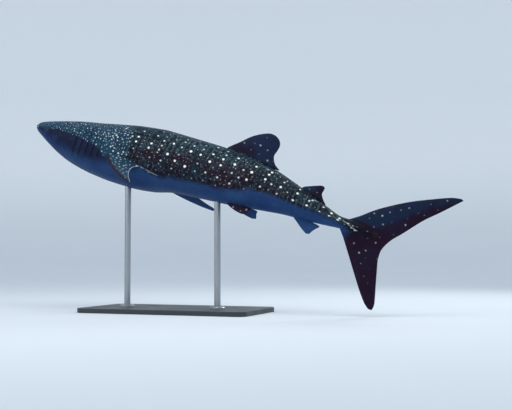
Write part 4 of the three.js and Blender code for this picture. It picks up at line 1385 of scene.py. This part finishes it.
def build_floor():
    """A pale floor that rises far away into a round backdrop, without a line between them."""
    turn = np.arange(SWEEP_SIDES) / SWEEP_SIDES * 2 * np.pi
    rings = [[(r * math.cos(a), r * math.sin(a), z) for a in turn] for r, z in SWEEP[1:]]
    points = [(0, 0, 0)] + [point for ring in rings for point in ring]
    faces = [(0, 1 + k, 1 + (k + 1) % SWEEP_SIDES) for k in range(SWEEP_SIDES)]
    for i in range(len(rings) - 1):
        for k in range(SWEEP_SIDES):
            a, b = 1 + i * SWEEP_SIDES + k, 1 + i * SWEEP_SIDES + (k + 1) % SWEEP_SIDES
            faces.append((a, a + SWEEP_SIDES, b + SWEEP_SIDES, b))
    mesh = bpy.data.meshes.new("floor")
    mesh.from_pydata(points, [], faces)
    mesh.polygons.foreach_set("use_smooth", np.ones(len(faces), bool))
    floor = placed("floor", mesh)
    n = Nodes("floor")
    place = n.add("ShaderNodeTexCoord").outputs["Object"]
    cloud = n.noise(place, 0.15, 3)
    near = n.mix(cloud, (214, 220, 226), (222, 227, 232))
    height = n.separate(place)[2]
    colour = n.mix(n.edge(height, 0.0, 9.0), near, (246, 248, 250))
    n.set(Base_Color=colour, Roughness=0.85, Specular_IOR_Level=0.2)
    mesh.materials.append(n.material)


def light(name, place, target, size, watts, colour):
    data = bpy.data.lights.new(name, "AREA")
    data.shape = "RECTANGLE"
    data.size, data.size_y = size
    data.energy = watts
    data.color = colour
    lamp = placed(name, data)
    lamp.location = place
    lamp.rotation_euler = (Vector(target) - Vector(place)).to_track_quat("-Z", "Y").to_euler()


build_floor()
world = bpy.data.worlds.new("studio")
bpy.context.scene.world = world
world.use_nodes = True
world.node_tree.nodes["Background"].inputs["Color"].default_value = srgb(206, 216, 226)
world.node_tree.nodes["Background"].inputs["Strength"].default_value = 1.12
light("key", (2, -4, 12), (0.5, 0, 2.4), (10, 7), 560, (1, 0.99, 0.97))
light("side", (-8, -13, 7), (-0.5, 0, 2.6), (8, 5), 380, (0.95, 0.97, 1))
light("rim", (7, 10, 9), (1, 0, 2.6), (7, 4), 480, (0.95, 0.98, 1))

# The camera stands where the photograph was taken from: left of the animal, a little behind
# its middle, and low.
CAMERA_AZIMUTH = math.radians(21.5)
CAMERA_ELEVATION = math.radians(-4.5)
CAMERA_DISTANCE = 18.0
CAMERA_AIM_S = 4200
FOCAL_PIXELS = 925.44
IMAGE_WIDTH, IMAGE_HEIGHT = 512, 410
CENTRE_PIXEL = (216.22, 182.63)
SENSOR = 36.0

aim = Vector(posed(np.array([[CAMERA_AIM_S, 0, 0]]))[0])
back = Vector((
    math.sin(CAMERA_AZIMUTH) * math.cos(CAMERA_ELEVATION),
    -math.cos(CAMERA_AZIMUTH) * math.cos(CAMERA_ELEVATION),
    math.sin(CAMERA_ELEVATION),
))
camera_data = bpy.data.cameras.new("camera")
camera_data.sensor_width = SENSOR
camera_data.lens = FOCAL_PIXELS * SENSOR / IMAGE_WIDTH
camera_data.shift_x = (IMAGE_WIDTH / 2 - CENTRE_PIXEL[0]) / IMAGE_WIDTH
camera_data.shift_y = (CENTRE_PIXEL[1] - IMAGE_HEIGHT / 2) / IMAGE_WIDTH
camera_data.clip_end = 1000
camera = placed("camera", camera_data)
camera.location = aim + back * CAMERA_DISTANCE
camera.rotation_euler = (-back).to_track_quat("-Z", "Y").to_euler()
bpy.context.scene.camera = camera
bpy.context.scene.view_settings.view_transform = "Standard"

bpy.context.view_layer.update()
